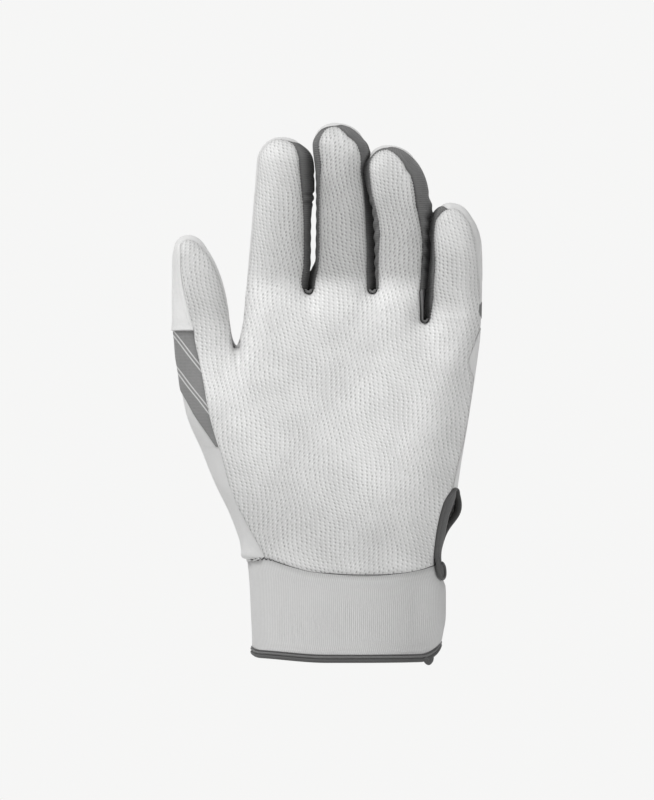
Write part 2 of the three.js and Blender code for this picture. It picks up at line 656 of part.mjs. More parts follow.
// A round binding along a path.
function binding(points, radius) {
  const circle = new THREE.Shape().absarc(0, 0, radius, 0, 2 * Math.PI);
  return new THREE.ExtrudeGeometry(circle, {
    extrudePath: new THREE.CatmullRomCurve3(points),
    steps: 22,
    curveSegments: 4,
    bevelEnabled: false,
  });
}
function slitBinding() {
  const point = (z, side, share) => {
    const at = { x: rightEdge(z) - 2, z };
    const turn = Math.asin(clamp((SLIT_HALF_WIDTH * share) / depth(at, side), 0, 1));
    const edge = spot(rightEdge(z) - edgeRadius(at) * (1 - Math.cos(turn)), z, side);
    return onSkin(edge, -LEATHER_THICKNESS / 2);
  };
  const foot = CUFF_HEIGHT + SEAM_GAP + 1;
  const climb = [0, 0.35, 0.7, 0.93].map((share) => lerp(foot, SLIT_TOP, share));
  const widths = [0.75, 0.9, 1, 0.7];
  const front = climb.map((z, k) => point(z, FRONT, widths[k]));
  const back = climb.map((z, k) => point(z, BACK, widths[k])).reverse();
  return binding([...front, point(SLIT_TOP, FRONT, 0), ...back], SLIT_BINDING_RADIUS);
}

// The closure strap lies over the back of the cuff, from the slit side towards the thumb side.
function strapLift(x) {
  return lerp(STRAP_END_LIFT, STRAP_ROOT_LIFT, smoothstep(x, STRAP_LEVEL_X, rightEdge(STRAP_TOP) - 1));
}
function strapColumn(x, low, high, lift) {
  return [0, 0.5, 1].map((share) => spot(x, lerp(low, high, share), BACK, lift));
}
function strapSheet() {
  const rows = [0, 0.5, 1].map((share) => {
    const z = lerp(STRAP_BOTTOM, STRAP_TOP, share);
    const turned = acrossRow({ x: leftEdge(z), z }, { x: rightEdge(z), z }, BACK, SEAM_TURN, SEAM_TURN, CUFF_STEPS)
      .slice(CUFF_STEPS).reverse();
    const flat = [0.5, 1].map((along) => spot(lerp(turned[CUFF_STEPS].x, STRAP_END_X + 4, along), z, BACK));
    return [...turned, ...flat].map((at) => spot(at.x, z, BACK, strapLift(at.x)));
  });
  const columns = rows[0].map((_, k) => rows.map((row) => row[k]));
  columns.push(strapColumn(STRAP_END_X, STRAP_BOTTOM + 4, STRAP_TOP - 4, STRAP_END_LIFT));
  return new Sheet(STRAP_THICKNESS, 0).grid(columns).geometry();
}
const PATCH_STEPS = 7;
function flatPatch(from, to, low, high, lift, thickness) {
  const columns = line({ x: from, z: 0 }, { x: to, z: 0 }, PATCH_STEPS).map(({ x }) => strapColumn(x, low, high, lift));
  return new Sheet(thickness, 0).grid(columns).geometry();
}
function pullTab() {
  const middle = (STRAP_BOTTOM + STRAP_TOP) / 2;
  const from = STRAP_END_X - SEAM_GAP;
  return flatPatch(from, from - TAB_LENGTH, middle - TAB_HEIGHT / 2, middle + TAB_HEIGHT / 2, STRAP_END_LIFT, STRAP_THICKNESS);
}
function closurePatch(length, lift) {
  const from = STRAP_END_X + PATCH_MARGIN - (length - HOOK_LENGTH) / 2;
  const low = STRAP_BOTTOM + PATCH_MARGIN;
  return flatPatch(from, from + length, low, STRAP_TOP - PATCH_MARGIN, lift, PATCH_THICKNESS);
}

// Materials, in the colours of the photographed glove
function material(color, roughness) {
  return new THREE.MeshStandardMaterial({ color, roughness, metalness: 0 });
}
const materials = {
  palmLeather: material(0xdcdcdb, 0.62),
  backLeather: material(0xe2e2e1, 0.58),
  stretch: material(0x5a5a5a, 0.85),
  thumbStretch: material(0x858585, 0.85),
  sideFabric: material(0xcfcfce, 0.8),
  cuffRib: material(0xc4c4c3, 0.85),
  binding: material(0x555556, 0.7),
  loop: material(0x8a8a8a, 0.95),
  hook: material(0x404040, 0.6),
};

// The glove: the hand with its panels and cuff, the fingers, the thumb and the strap
const glove = new THREE.Group();
glove.name = "batting_glove";
function groupNamed(name) {
  const group = new THREE.Group();
  group.name = name;
  glove.add(group);
  return group;
}
function add(group, name, geometry, finish) {
  const mesh = new THREE.Mesh(geometry, finish);
  mesh.name = name;
  group.add(mesh);
}

const hand = groupNamed("hand");
const palmGrids = handGrids(FRONT, SEAM_GAP);
const backGrids = handGrids(BACK, 0);
add(hand, "palm_panel", leatherPanel(palmGrids.main), materials.palmLeather);
add(hand, "thenar_panel", leatherPanel(palmGrids.thumb), materials.palmLeather);
add(hand, "back_panel", leatherPanel(backGrids.main, backGrids.thumb), materials.backLeather);
add(hand, "thumb_stretch_panel", thumbSidePanel(), materials.thumbStretch);
add(hand, "thumb_side_gusset", sideGusset(), materials.sideFabric);
webs.forEach((web) => {
  add(hand, `${web.left.name}_${web.right.name}_fork`, fingerFork(web), materials.stretch);
});
fingers.forEach((f) => add(hand, `${f.name}_knuckle_gusset`, knuckleGusset(f), materials.stretch));

const cuff = groupNamed("cuff");
add(cuff, "cuff_front", cuffPiece(FRONT), materials.cuffRib);
add(cuff, "cuff_back", cuffPiece(BACK), materials.backLeather);
add(cuff, "hem_binding_front", hemPiece(FRONT), materials.binding);
add(cuff, "hem_binding_back", hemPiece(BACK), materials.binding);
add(cuff, "slit_binding", slitBinding(), materials.binding);
add(cuff, "loop_patch", closurePatch(LOOP_LENGTH, LOOP_LIFT), materials.loop);

fingers.forEach((f) => {
  const group = groupNamed(f.name);
  add(group, `${f.name}_front`, fingerPanel(f, FRONT, f.cut + HALF_GAP), materials.palmLeather);
  add(group, `${f.name}_back`, fingerPanel(f, BACK, f.cut + GUSSET_LENGTH + HALF_GAP), materials.backLeather);
  add(group, `${f.name}_side_wall`, fingerWall(f), materials.stretch);
});

const thumbGroup = groupNamed("thumb");
add(thumbGroup, "thumb_front", fingerPanel(thumb, FRONT, THUMB_CUT + HALF_GAP), materials.palmLeather);
add(thumbGroup, "thumb_back", fingerPanel(thumb, BACK, THUMB_CUT + HALF_GAP), materials.backLeather);

const strap = groupNamed("strap");
add(strap, "closure_strap", strapSheet(), materials.backLeather);
add(strap, "hook_patch", closurePatch(HOOK_LENGTH, HOOK_LIFT), materials.hook);
add(strap, "pull_tab", pullTab(), materials.binding);

export default glove;
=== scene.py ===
"""Looks of a left-hand batting glove: leather, stretch walls, bindings, a wrist strap and stitches."""

import logging
import math
from dataclasses import dataclass
from enum import Enum
from typing import Callable, Optional, Sequence, Union

import bpy
import numpy as np
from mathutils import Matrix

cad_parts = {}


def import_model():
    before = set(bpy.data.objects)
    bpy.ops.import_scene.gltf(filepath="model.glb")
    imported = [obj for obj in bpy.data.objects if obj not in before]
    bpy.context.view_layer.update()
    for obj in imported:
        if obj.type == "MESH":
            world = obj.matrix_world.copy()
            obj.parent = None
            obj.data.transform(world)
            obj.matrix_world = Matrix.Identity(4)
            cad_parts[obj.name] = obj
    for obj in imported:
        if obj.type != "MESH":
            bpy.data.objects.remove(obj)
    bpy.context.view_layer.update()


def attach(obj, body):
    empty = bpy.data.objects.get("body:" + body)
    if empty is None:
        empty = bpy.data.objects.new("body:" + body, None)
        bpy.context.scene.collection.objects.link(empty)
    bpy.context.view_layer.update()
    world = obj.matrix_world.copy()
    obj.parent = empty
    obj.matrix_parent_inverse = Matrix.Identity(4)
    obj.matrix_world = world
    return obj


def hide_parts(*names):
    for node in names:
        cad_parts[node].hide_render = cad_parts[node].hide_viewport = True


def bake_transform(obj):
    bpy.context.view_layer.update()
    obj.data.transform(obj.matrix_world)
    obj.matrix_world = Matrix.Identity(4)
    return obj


LOG = logging.getLogger("glove")
MM = 0.001
EVENING_ROUNDS = 16
BACKWARDS_FROM_SECOND = slice(-2, None, -1)

Array = np.ndarray
Node = bpy.types.Node
Tree = bpy.types.NodeTree
Socket = bpy.types.NodeSocket
Value = Union[Socket, float, tuple]
Piece = bpy.types.Object
Line = Callable[[Array], Array]


class Side(Enum):
    """The two faces of the glove."""

    PALM = -1.0
    BACK = 1.0


class Bare(Enum):
    """The edges of a stall that have no side wall."""

    NONE = "none"
    LEFT = "left"
    RIGHT = "right"
    BOTH = "both"


# Small helpers for numbers and curves.
def lerp(low: Array, high: Array, share: Array) -> Array:
    """Value a share of the way from low to high."""
    return low + (high - low) * share


def smoothstep(value: Array, low: float, high: float) -> Array:
    """Smooth rise from 0 at low to 1 at high."""
    share = np.clip((value - low) / (high - low), 0.0, 1.0)
    return share * share * (3.0 - 2.0 * share)


def hump(value: Array, middle: float, spread: float) -> Array:
    """Bell-shaped hump of height 1."""
    return np.exp(-(((value - middle) / spread) ** 2))


def turn_for(distance: Array, reach: Array) -> Array:
    """Turn around a rounded edge, in radians, that lies a distance in from the outline."""
    return np.arccos(1.0 - np.clip(distance / reach, 0.0, 1.0))


def eased(steps: int) -> Array:
    """Shares from 1 down to 0, crowded towards 0."""
    crowding = 1.7
    return (1.0 - np.linspace(0.0, 1.0, steps)) ** crowding


def run_along(line: Array) -> Array:
    """Length along a line at each of its points."""
    return np.concatenate([[0.0], np.cumsum(np.linalg.norm(np.diff(line, axis=0), axis=1))])


def oval(half_width: float, half_height: float, steps: int) -> Array:
    """Points of a closed oval profile."""
    turns = np.linspace(0.0, 2.0 * math.pi, steps, endpoint=False)
    return np.stack([half_width * np.cos(turns), half_height * np.sin(turns)], axis=1)


@dataclass(frozen=True)
class HeightCurve:
    """A smooth curve of a value over height, held level beyond both ends.

    Attributes:
        points: Pairs of height and value, lowest first.
    """

    points: tuple

    def __call__(self, height: Array) -> Array:
        """Value at each height.

        Args:
            height: Heights in millimetres.

        Returns:
            The curve's values.
        """
        knots = np.array([p[0] for p in self.points], float)
        values = np.array([p[1] for p in self.points], float)
        slopes = np.empty_like(values)
        slopes[1:-1] = (values[2:] - values[:-2]) / (knots[2:] - knots[:-2])
        slopes[0] = (values[1] - values[0]) / (knots[1] - knots[0])
        slopes[-1] = (values[-1] - values[-2]) / (knots[-1] - knots[-2])
        at = np.clip(np.asarray(height, float), knots[0], knots[-1])
        k = np.clip(np.searchsorted(knots, at) - 1, 0, len(knots) - 2)
        span = knots[k + 1] - knots[k]
        t = (at - knots[k]) / span
        ends = values[k] * (2 * t**3 - 3 * t**2 + 1) + values[k + 1] * (3 * t**2 - 2 * t**3)
        leans = slopes[k] * (t**3 - 2 * t**2 + t) + slopes[k + 1] * (t**3 - t**2)
        return ends + leans * span


def finger_line(base: float, lean: float, bow: float) -> Line:
    """Line between two fingers, leaning and bowing on its way up.

    Args:
        base: Place across at the knuckles.
        lean: Shift across at the end of the leaning span.
        bow: Bulge halfway up.

    Returns:
        A function from height to the place across.
    """
    knuckle_height = 158.0
    lean_span = 48.0

    def line(z: Array) -> Array:
        """Place across at each height."""
        h = (np.asarray(z, float) - knuckle_height) / lean_span
        return base + lean * h + bow * 4.0 * h * (1.0 - h)

    return line


def moved(line: Line, by: float) -> Line:
    """The same line, moved sideways."""
    return lambda z: line(z) + by


def footed(line: Line, by: float, foot: float) -> Line:
    """The same line, moved sideways at its foot and over some way above it."""
    fading = 10.0
    return lambda z: line(z) + by * (1.0 - smoothstep(z, foot, foot + fading))


@dataclass(frozen=True)
class Stall:
    """One finger or the thumb: its edge lines, its rounded tip and its palm-side seams.

    Attributes:
        name: Name of the body that it belongs to.
        left_line: Left edge below the rounded tip.
        right_line: Right edge below the rounded tip.
        cut: Height at which the stall leaves the hand.
        tip: Height of the tip.
        apex: Share of the width at which the tip lies.
        left_round: Length of the rounding on the left.
        right_round: Length of the rounding on the right.
        left_seam: How far in from the left edge the palm-side seam lies.
        right_seam: How far in from the right edge the palm-side seam lies.
        bare: The edges without a side wall.
    """

    name: str
    left_line: Line
    right_line: Line
    cut: float
    tip: float
    apex: float
    left_round: float
    right_round: float
    left_seam: HeightCurve
    right_seam: HeightCurve
    bare: Bare

    def _rounded(self, line: Line, length: float, z: Array) -> Array:
        """Edge that closes to the tip over a length.

        Args:
            line: The edge line below the rounding.
            length: Length of the rounding.
            z: Heights.

        Returns:
            Places across.
        """
        tip = np.float64(self.tip)
        apex_x = lerp(self.left_line(tip), self.right_line(tip), self.apex)
        rise = np.clip((z - (self.tip - length)) / length, 0.0, 1.0)
        return lerp(apex_x, line(z), np.sqrt(1.0 - rise * rise))

    def left_of(self, z: Array) -> Array:
        """Left edge at each height."""
        return self._rounded(self.left_line, self.left_round, np.asarray(z, float))

    def right_of(self, z: Array) -> Array:
        """Right edge at each height."""
        return self._rounded(self.right_line, self.right_round, np.asarray(z, float))

    def spine(self, z: Array) -> tuple:
        """Middle of the stall at each height, which stops below the tip.

        Args:
            z: Heights in millimetres.

        Returns:
            Places across and heights.
        """
        tip = np.float64(self.tip)
        below_tip = 0.42
        top = self.tip - (self.right_line(tip) - self.left_line(tip)) * below_tip
        height = np.minimum(z, top)
        return (self.left_of(height) + self.right_of(height)) / 2.0, height

    def has_wall(self, left: bool) -> bool:
        """Whether an edge has a side wall."""
        return self.bare not in (Bare.BOTH, Bare.LEFT if left else Bare.RIGHT)

    def walled(self, left: Array) -> Array:
        """Whether the edge that each point is on has a side wall."""
        return np.where(left, self.has_wall(True), self.has_wall(False))

    def seam(self, z: Array, left: Array) -> Array:
        """Distance from the edge to the palm-side seam."""
        return np.where(left, self.left_seam(z), self.right_seam(z))

    def edge_path(self, start: float, spacing: float) -> tuple:
        """Edge from one base over the tip to the other base, in nearly even steps.

        Args:
            start: Height of both bases.
            spacing: Step along the edge.

        Returns:
            Places across, heights, and which points are on the left edge.
        """
        fine_steps = 800
        fine = self.tip - (self.tip - start) * eased(fine_steps)
        left_step = np.hypot(np.diff(self.left_of(fine)), np.diff(fine))
        right_step = np.hypot(np.diff(self.right_of(fine)), np.diff(fine))
        length = np.concatenate([[0.0], np.cumsum((left_step + right_step) / 2.0)])
        steps = np.linspace(0.0, length[-1], int(length[-1] / spacing) + 1)
        up = np.interp(steps, length, fine)
        x = np.concatenate([self.left_of(up), self.right_of(up)[::-1][1:]])
        z = np.concatenate([up, up[::-1][1:]])
        return x, z, np.arange(len(z)) < len(up)


# Places on the glove, the glove's form and its skin.
@dataclass
class Spots:
    """A grid of places on the glove's skin.

    Attributes:
        x: Places across.
        z: Heights.
        side: -1 on the palm, 1 on the back.
        lift: Distance off the skin.
        pattern: Flat cutting-pattern coordinates, in millimetres, or None to use x and z.
        forward: Distance towards the palm side.
    """

    x: Array
    z: Array
    side: Array
    lift: Array
    pattern: Optional[Array] = None
    forward: Optional[Array] = None

    PARTS = ("x", "z", "side", "lift")

    def columns(self, cut: slice) -> "Spots":
        """The places of some of the columns, in the order of the slice."""
        return Spots(*(getattr(self, part)[:, cut] for part in self.PARTS))


def joined(grids: Sequence[Spots], axis: int) -> Spots:
    """One grid of places from several that are put end to end along an axis."""
    parts = ([getattr(grid, part) for grid in grids] for part in Spots.PARTS)
    return Spots(*(np.concatenate(part, axis=axis) for part in parts))


def spots_on(x: Array, z: Array, side: Side, lift: float = 0.0) -> Spots:
    """Grid of spots that all lie on one face."""
    return Spots(x, z, np.full(x.shape, side.value), np.full(x.shape, lift))


def around_edge(
    edge_x: Array, edge_z: Array, inner_x: Array, inner_z: Array, turn: Array, side: Side
) -> Spots:
    """Spots between edge points and inner points, at turns around the edge.

    Args:
        edge_x: Edge places across.
        edge_z: Edge heights.
        inner_x: Inner places across.
        inner_z: Inner heights.
        turn: Turns in radians. A negative turn lies on the other face.
        side: The face that positive turns lie on.

    Returns:
        The grid of spots.
    """
    share = 1.0 - np.cos(turn)
    x = lerp(edge_x, inner_x, share)
    z = lerp(edge_z, inner_z, share)
    sides = np.where(turn < 0.0, -side.value, side.value)
    return Spots(x, z, sides, np.zeros_like(x))


@dataclass(frozen=True)
class GloveForm:
    """The filled glove as a skin over its outline, in millimetres.

    Attributes:
        hem_width: Width of the hem.
        cuff_width: Width of the cuff below its upper edge.
        cuff_height: Height of the cuff's upper edge.
        hem_flat: Height over which the hem's sides are upright.
        knuckle_height: Height at which the index, middle and ring fingers leave the hand.
        little_cut: Height at which the little finger leaves the hand.
        gap: Distance between neighbouring fingers.
        web_below_cut: How far the webs lie below the fingers' roots.
        web_reveal: Width of a web's cloth that shows on the palm side.
        back_reveal: Width of a wall that shows on the back.
        gusset_length: Length of the knuckle gussets.
        thumb_cut: Height at which the thumb leaves the hand.
        thumb_web: Height of the web beside the thumb.
        thumb_depth: Half of the thumb's thickness.
        wrist_edge: Width of the rounded edge at the wrist.
        finger_edge: Width of the rounded edge at the fingers.
    """

    hem_width: float = 79.0
    cuff_width: float = 82.4
    cuff_height: float = 43.0
    hem_flat: float = 8.0
    knuckle_height: float = 158.0
    little_cut: float = 145.5
    gap: float = 1.6
    web_below_cut: float = 0.85
    web_reveal: float = 1.0
    back_reveal: float = 1.8
    gusset_length: float = 16.0
    thumb_cut: float = 140.7
    thumb_web: float = 134.0
    thumb_depth: float = 10.5
    wrist_edge: float = 36.0
    finger_edge: float = 10.2

    @property
    def lines(self) -> tuple:
        """Lines at the outer edges and between the fingers."""
        return (
            finger_line(-42.0, 4.0, 0.0),
            footed(finger_line(-14.4, 0.75, 0.45), -1.1, self.knuckle_height),
            footed(finger_line(11.1, -2.3, 0.8), 0.5, self.knuckle_height),
            footed(finger_line(35.1, 2.4, 0.0), -0.7, self.little_cut),
            finger_line(58.3, -2.2, 0.6),
        )

    @property
    def left_edge(self) -> HeightCurve:
        """Outer edge on the thumb side."""
        half_hem = self.hem_width / 2.0
        low = (38.0, -self.cuff_width / 2.0)
        high = (149.7, -73.6)
        shares = ((0, 0), (0.08, 0.06), (0.32, 0.42), (0.6, 0.82), (0.83, 0.97), (1, 1))
        climb = tuple((lerp(low[0], high[0], up), lerp(low[1], high[1], over)) for up, over in shares)
        return HeightCurve(((0.0, -half_hem), (self.hem_flat, -half_hem)) + climb + ((180.2, -73.3),))

    @property
    def right_edge(self) -> HeightCurve:
        """Outer edge on the little finger side."""
        half_hem = self.hem_width / 2.0
        low = (38.0, self.cuff_width / 2.0)
        high = (self.little_cut, float(self.lines[4](self.little_cut)))
        shares = ((0, 0), (0.075, 0), (0.26, 0.32), (0.43, 0.49), (0.62, 0.69), (0.9, 0.95), (1, 1))
        climb = tuple((lerp(low[0], high[0], up), lerp(low[1], high[1], over)) for up, over in shares)
        return HeightCurve(((0.0, half_hem), (self.hem_flat, half_hem)) + climb)

    @property
    def fingers(self) -> tuple:
        """The four finger stalls, from the index to the little finger."""
        lines = self.lines
        half = self.gap / 2.0

        def index_left(z: Array) -> Array:
            """Left edge of the index finger, which runs into the web of the thumb."""
            return lines[0](z) - 2.0 * self.near_thumb_web(z, 4.5)

        index = Stall(
            "index", index_left, moved(lines[1], -half), self.knuckle_height, 222.7, 0.42, 10.0, 10.0,
            HeightCurve(((158, 0.02), (166, 0.5), (203, 0.6), (222.7, 0.7))),
            HeightCurve((
                (158, 1.3), (160, 2.2), (163, 2.7), (176, 2.8), (194, 3.5), (205, 4.4), (211, 4.8),
                (217, 4.3), (222.7, 0.9),
            )),
            Bare.LEFT,
        )

        def middle_right(z: Array) -> Array:
            """Right edge of the middle finger, which is wide at the tip."""
            return lines[2](z) - half + 3.4 * smoothstep(z, 206.0, 217.0)

        def middle_left(z: Array) -> Array:
            """Left edge of the middle finger, which is wide at the tip."""
            return lines[1](z) + half - 0.9 * hump(z, 218.0, 7.0)

        middle = Stall(
            "middle", middle_left, middle_right, self.knuckle_height, 228.0, 0.44, 9.0, 10.0,
            HeightCurve((
                (158, 1.3), (176, 1.6), (194, 1.5), (205, 2.1), (211, 2.9), (217, 2.8), (223, 2.6),
                (228, 0.8),
            )),
            HeightCurve((
                (158, 1.2), (176, 0.8), (194, 0.6), (205, 0.6), (211, 2.0), (216, 3.8), (219, 4.4),
                (223, 4.4), (226, 3.9), (227.6, 2.4), (228, 1.0),
            )),
            Bare.NONE,
        )
        ring = Stall(
            "ring", moved(lines[2], half), moved(lines[3], -half), self.knuckle_height, 218.5, 0.34, 11.0,
            24.0,
            HeightCurve((
                (158, 1.5), (167, 1.9), (176, 2.4), (181, 2.9), (188, 2.5), (195, 1.4), (200, 0.6),
                (205, 0.6), (211, 0.9), (218.5, 1.2),
            )),
            HeightCurve((
                (158, 2.4), (167, 2.15), (176, 2.2), (181, 2.9), (188, 4.5), (194, 6.1), (199, 6.7),
                (204, 6.7), (208, 6.5), (212, 6.1), (215, 5.2), (217.3, 4.0), (218.2, 2.7), (218.5, 1.6),
            )),
            Bare.NONE,
        )
        little = Stall(
            "little", moved(lines[3], half), lines[4], self.little_cut, 193.8, 0.36, 6.5, 18.0,
            HeightCurve((
                (145.5, 1.3), (150, 1.4), (160, 1.5), (170, 1.5), (176, 0.8), (181, 0.4), (186, 0.6),
                (190, 1.7), (193.8, 1.7),
            )),
            HeightCurve((
                (145.5, 0.02), (147.3, 1.1), (150, 1.3), (153, 1.0), (157, 1.0), (168, 1.7), (183, 2.5),
                (193.8, 1.3),
            )),
            Bare.RIGHT,
        )
        return index, middle, ring, little

    @property
    def thumb(self) -> Stall:
        """The thumb stall."""
        return Stall(
            "thumb", self.left_edge, self.thumb_right, self.thumb_cut, 180.2, 0.32, 9.0, 32.0,
            HeightCurve(((140.7, 9.2), (146, 7.6), (155, 5.4), (164.5, 3.8), (172, 3.4), (180.2, 1.0))),
            HeightCurve(((140.7, 0.02), (150, 0.4), (180.2, 1.0))),
            Bare.BOTH,
        )

    def near_thumb_web(self, z: Array, spread: float) -> Array:
        """1 at the web of the thumb, falling off above it."""
        return np.exp(-np.maximum(np.asarray(z, float) - self.thumb_web, 0.0) / spread)

    def thumb_right(self, z: Array) -> Array:
        """Inner edge of the thumb."""
        return -48.6 - 0.1 * (np.asarray(z, float) - self.thumb_cut) + 1.7 * self.near_thumb_web(z, 2.6)

    def web_place(self, k: int) -> tuple:
        """Middle of the web's floor between finger k and the next."""
        z = self.fingers[k + 1].cut - self.web_below_cut + self.gap / 2.0
        return float(self.lines[k + 1](z)), z

    @property
    def thumb_web_place(self) -> tuple:
        """Bottom of the web between the thumb and the index finger."""
        return -46.0, self.thumb_web - 0.02

    def cuff_seam(self, x: Array) -> Array:
        """Height of the seam between the cuff and the hand, lowest in the middle.

        Args:
            x: Places across.

        Returns:
            Heights of the seam.
        """
        return HeightCurve((
            (-44.0, 42.6), (-38.0, 43.2), (-34.2, 43.8), (-31.0, 43.2), (-27.7, 42.0), (-23.5, 40.7),
            (-16.4, 38.8), (-9.4, 37.9), (1.2, 37.25), (10.0, 37.1), (15.3, 37.1), (20.0, 37.4),
            (25.9, 38.0), (32.9, 39.3), (37.5, 40.6), (41.0, 41.6),
        ))(x)

    def side_fold(self, x: Array, z: Array) -> Array:
        """Lift of the thumb side's cloth, which hangs in a fold over the cuff's edge.

        Args:
            x: Places across.
            z: Heights.

        Returns:
            The lift.
        """
        fold = HeightCurve((
            (-0.6, -0.4), (0.2, -0.3), (0.7, 0.9), (1.5, 1.9), (2.7, 2.2), (5.0, 1.4), (9.0, 0.3),
            (13.0, 0.0),
        ))
        return fold(z - self.cuff_seam(x)) * smoothstep(self.left_edge(z) - x, -7.0, -1.0)


class Skin:
    """Places spots on the skin of a glove form."""

    OUTLINE_STEPS = 60
    EDGE_STEPS = 200
    CHUNK = 1500
    TINY = 1e-9
    TIE = 1e-6
    AT_EDGE = 0.02

    def __init__(self, form: GloveForm) -> None:
        """Draws the outline of the form.

        Args:
            form: The glove's form.
        """
        self.form = form
        self.outline = self._outline()
        self.front_depth = HeightCurve((
            (0, 23.0), (43, 23.0), (62, 24.0), (95, 20.55), (125, 16.41), (152, 12.5), (172, 10.8),
            (228, 9.4),
        ))
        self.back_depth = HeightCurve((
            (0, 22.0), (43, 22.0), (66, 19.5), (110, 16.5), (152, 12.0), (172, 10.4), (228, 8.8),
        ))
        self.finger_rise = HeightCurve((
            (124, 0.0), (141, 0.6), (149, -0.2), (157, -2.4), (164, -2.2), (178, 0.4), (190, 2.3),
            (200, 3.0), (214, 3.0), (228, 2.4),
        ))

    def _arch(self, stall: Stall, left_from: float, right_from: float) -> Array:
        """Outline of one stall, from its left foot over the tip to its right foot.

        Args:
            stall: The stall.
            left_from: Height of its left foot.
            right_from: Height of its right foot.

        Returns:
            Points of the outline.
        """
        ease = eased(self.OUTLINE_STEPS)
        up = stall.tip - (stall.tip - left_from) * ease
        down = (stall.tip - (stall.tip - right_from) * ease)[::-1][1:]
        left = np.stack([stall.left_of(up), up], axis=1)
        right = np.stack([stall.right_of(down), down], axis=1)
        return np.concatenate([left, right])

    def _outline(self) -> Array:
        """Outline of the whole glove, up the thumb side and down the other side."""
        form = self.form
        thumb = form.thumb
        fingers = form.fingers
        left_z = np.linspace(0.0, form.thumb_cut, self.EDGE_STEPS)
        right_z = np.linspace(form.little_cut, 0.0, self.EDGE_STEPS)
        below_hem = -30.0
        parts = [
            np.array([[float(form.left_edge(0.0)), below_hem]]),
            np.stack([form.left_edge(left_z), left_z], axis=1),
            self._arch(thumb, form.thumb_cut + 0.5, form.thumb_web + 1.0),
            np.array([[form.thumb_web_place[0], form.thumb_web]]),
        ]
        foot = form.thumb_web + 1.0
        turns = np.radians([216.0, 243.0, 270.0, 297.0, 324.0])
        half = form.gap / 2.0
        for k in range(3):
            web_x, web_z = form.web_place(k)
            parts.append(self._arch(fingers[k], foot, web_z))
            parts.append(np.stack([web_x + half * np.cos(turns), web_z + half * np.sin(turns)], axis=1))
            foot = web_z
        parts.append(self._arch(fingers[3], foot, form.little_cut + 0.5))
        parts.append(np.stack([form.right_edge(right_z), right_z], axis=1))
        parts.append(np.array([[float(form.right_edge(0.0)), below_hem]]))
        return np.concatenate(parts)

    def nearest(self, x: Array, z: Array) -> tuple:
        """How far inside the outline points lie, and the way in.

        Args:
            x: Places across, one-dimensional.
            z: Heights, one-dimensional.

        Returns:
            Distances, and the x and z parts of the way in.
        """
        start = self.outline[:-1]
        run = np.diff(self.outline, axis=0)
        length = np.hypot(run[:, 0], run[:, 1])
        keep = length > self.TINY
        start = start[keep]
        run = run[keep]
        length = length[keep]
        way_x = run[:, 1] / length
        way_z = -run[:, 0] / length
        distance = np.empty(len(x))
        in_x = np.empty(len(x))
        in_z = np.empty(len(x))
        for low in range(0, len(x), self.CHUNK):
            part = slice(low, low + self.CHUNK)
            px = x[part, None] - start[:, 0]
            pz = z[part, None] - start[:, 1]
            along = np.clip((px * run[:, 0] + pz * run[:, 1]) / length**2, 0.0, 1.0)
            off_x = px - along * run[:, 0]
            off_z = pz - along * run[:, 1]
            square = off_x**2 + off_z**2
            best = np.argmin(square, axis=1)
            row = np.arange(len(best))
            inward = off_x[row, best] * way_x[best] + off_z[row, best] * way_z[best]
            # At a corner two edges are equally near, and the one that is deeper inside counts.
            for step in (-1, 1):
                beside = np.clip(best + step, 0, len(length) - 1)
                tied = square[row, beside] < square[row, best] + self.TIE
                other = off_x[row, beside] * way_x[beside] + off_z[row, beside] * way_z[beside]
                inward = np.where(tied, np.maximum(inward, other), inward)
            away = np.sqrt(square[row, best])
            # On the outline itself the way in is the edge's own normal.
            at_edge = inward < self.AT_EDGE
            safe = np.maximum(away, self.TINY)
            distance[part] = np.where(at_edge, np.maximum(inward, 0.0), away)
            in_x[part] = np.where(at_edge, way_x[best], off_x[row, best] / safe)
            in_z[part] = np.where(at_edge, way_z[best], off_z[row, best] / safe)
        return distance, in_x, in_z

    def thumb_share(self, x: Array, z: Array) -> Array:
        """Share of the thumb at a place, from 0 to 1."""
        form = self.form
        return smoothstep(-x, 43.0, 52.0) * smoothstep(z, form.thumb_web - 30.0, form.thumb_cut)

    def edge_radius(self, x: Array, z: Array) -> Array:
        """Width of the rounded edge at a place.

        Args:
            x: Places across.
            z: Heights.

        Returns:
            Widths.
        """
        form = self.form
        up_hand = smoothstep(z, form.cuff_height, form.knuckle_height - 6.0)
        hand = lerp(form.wrist_edge, form.finger_edge, up_hand)
        little = 1.0 - 0.1 * smoothstep(x, 33.0, 39.0) * smoothstep(z, 120.0, form.little_cut)
        return hand * little * (1.0 - 0.2 * self.thumb_share(x, z))

    def depth(self, x: Array, z: Array, side: Array) -> Array:
        """Distance from the middle plane to the flat of a face.

        Args:
            x: Places across.
            z: Heights.
            side: Face of each place, as a sign.

        Returns:
            Distances.
        """

        def swell(at_x: float, at_z: float, spread_x: float, spread_z: float) -> Array:
            """Rounded swelling of the palm."""
            return np.exp(-(((x - at_x) / spread_x) ** 2) - ((z - at_z) / spread_z) ** 2)

        balls = 3.5 * swell(-38.0, 88.0, 22.0, 30.0) + 2.0 * swell(34.0, 80.0, 20.0, 30.0)
        balls = balls - 1.5 * swell(4.0, 108.0, 22.0, 26.0)
        flat = np.where(side < 0.0, self.front_depth(z) + balls + self.curl(x, z), self.back_depth(z))
        return lerp(flat, self.form.thumb_depth, self.thumb_share(x, z))

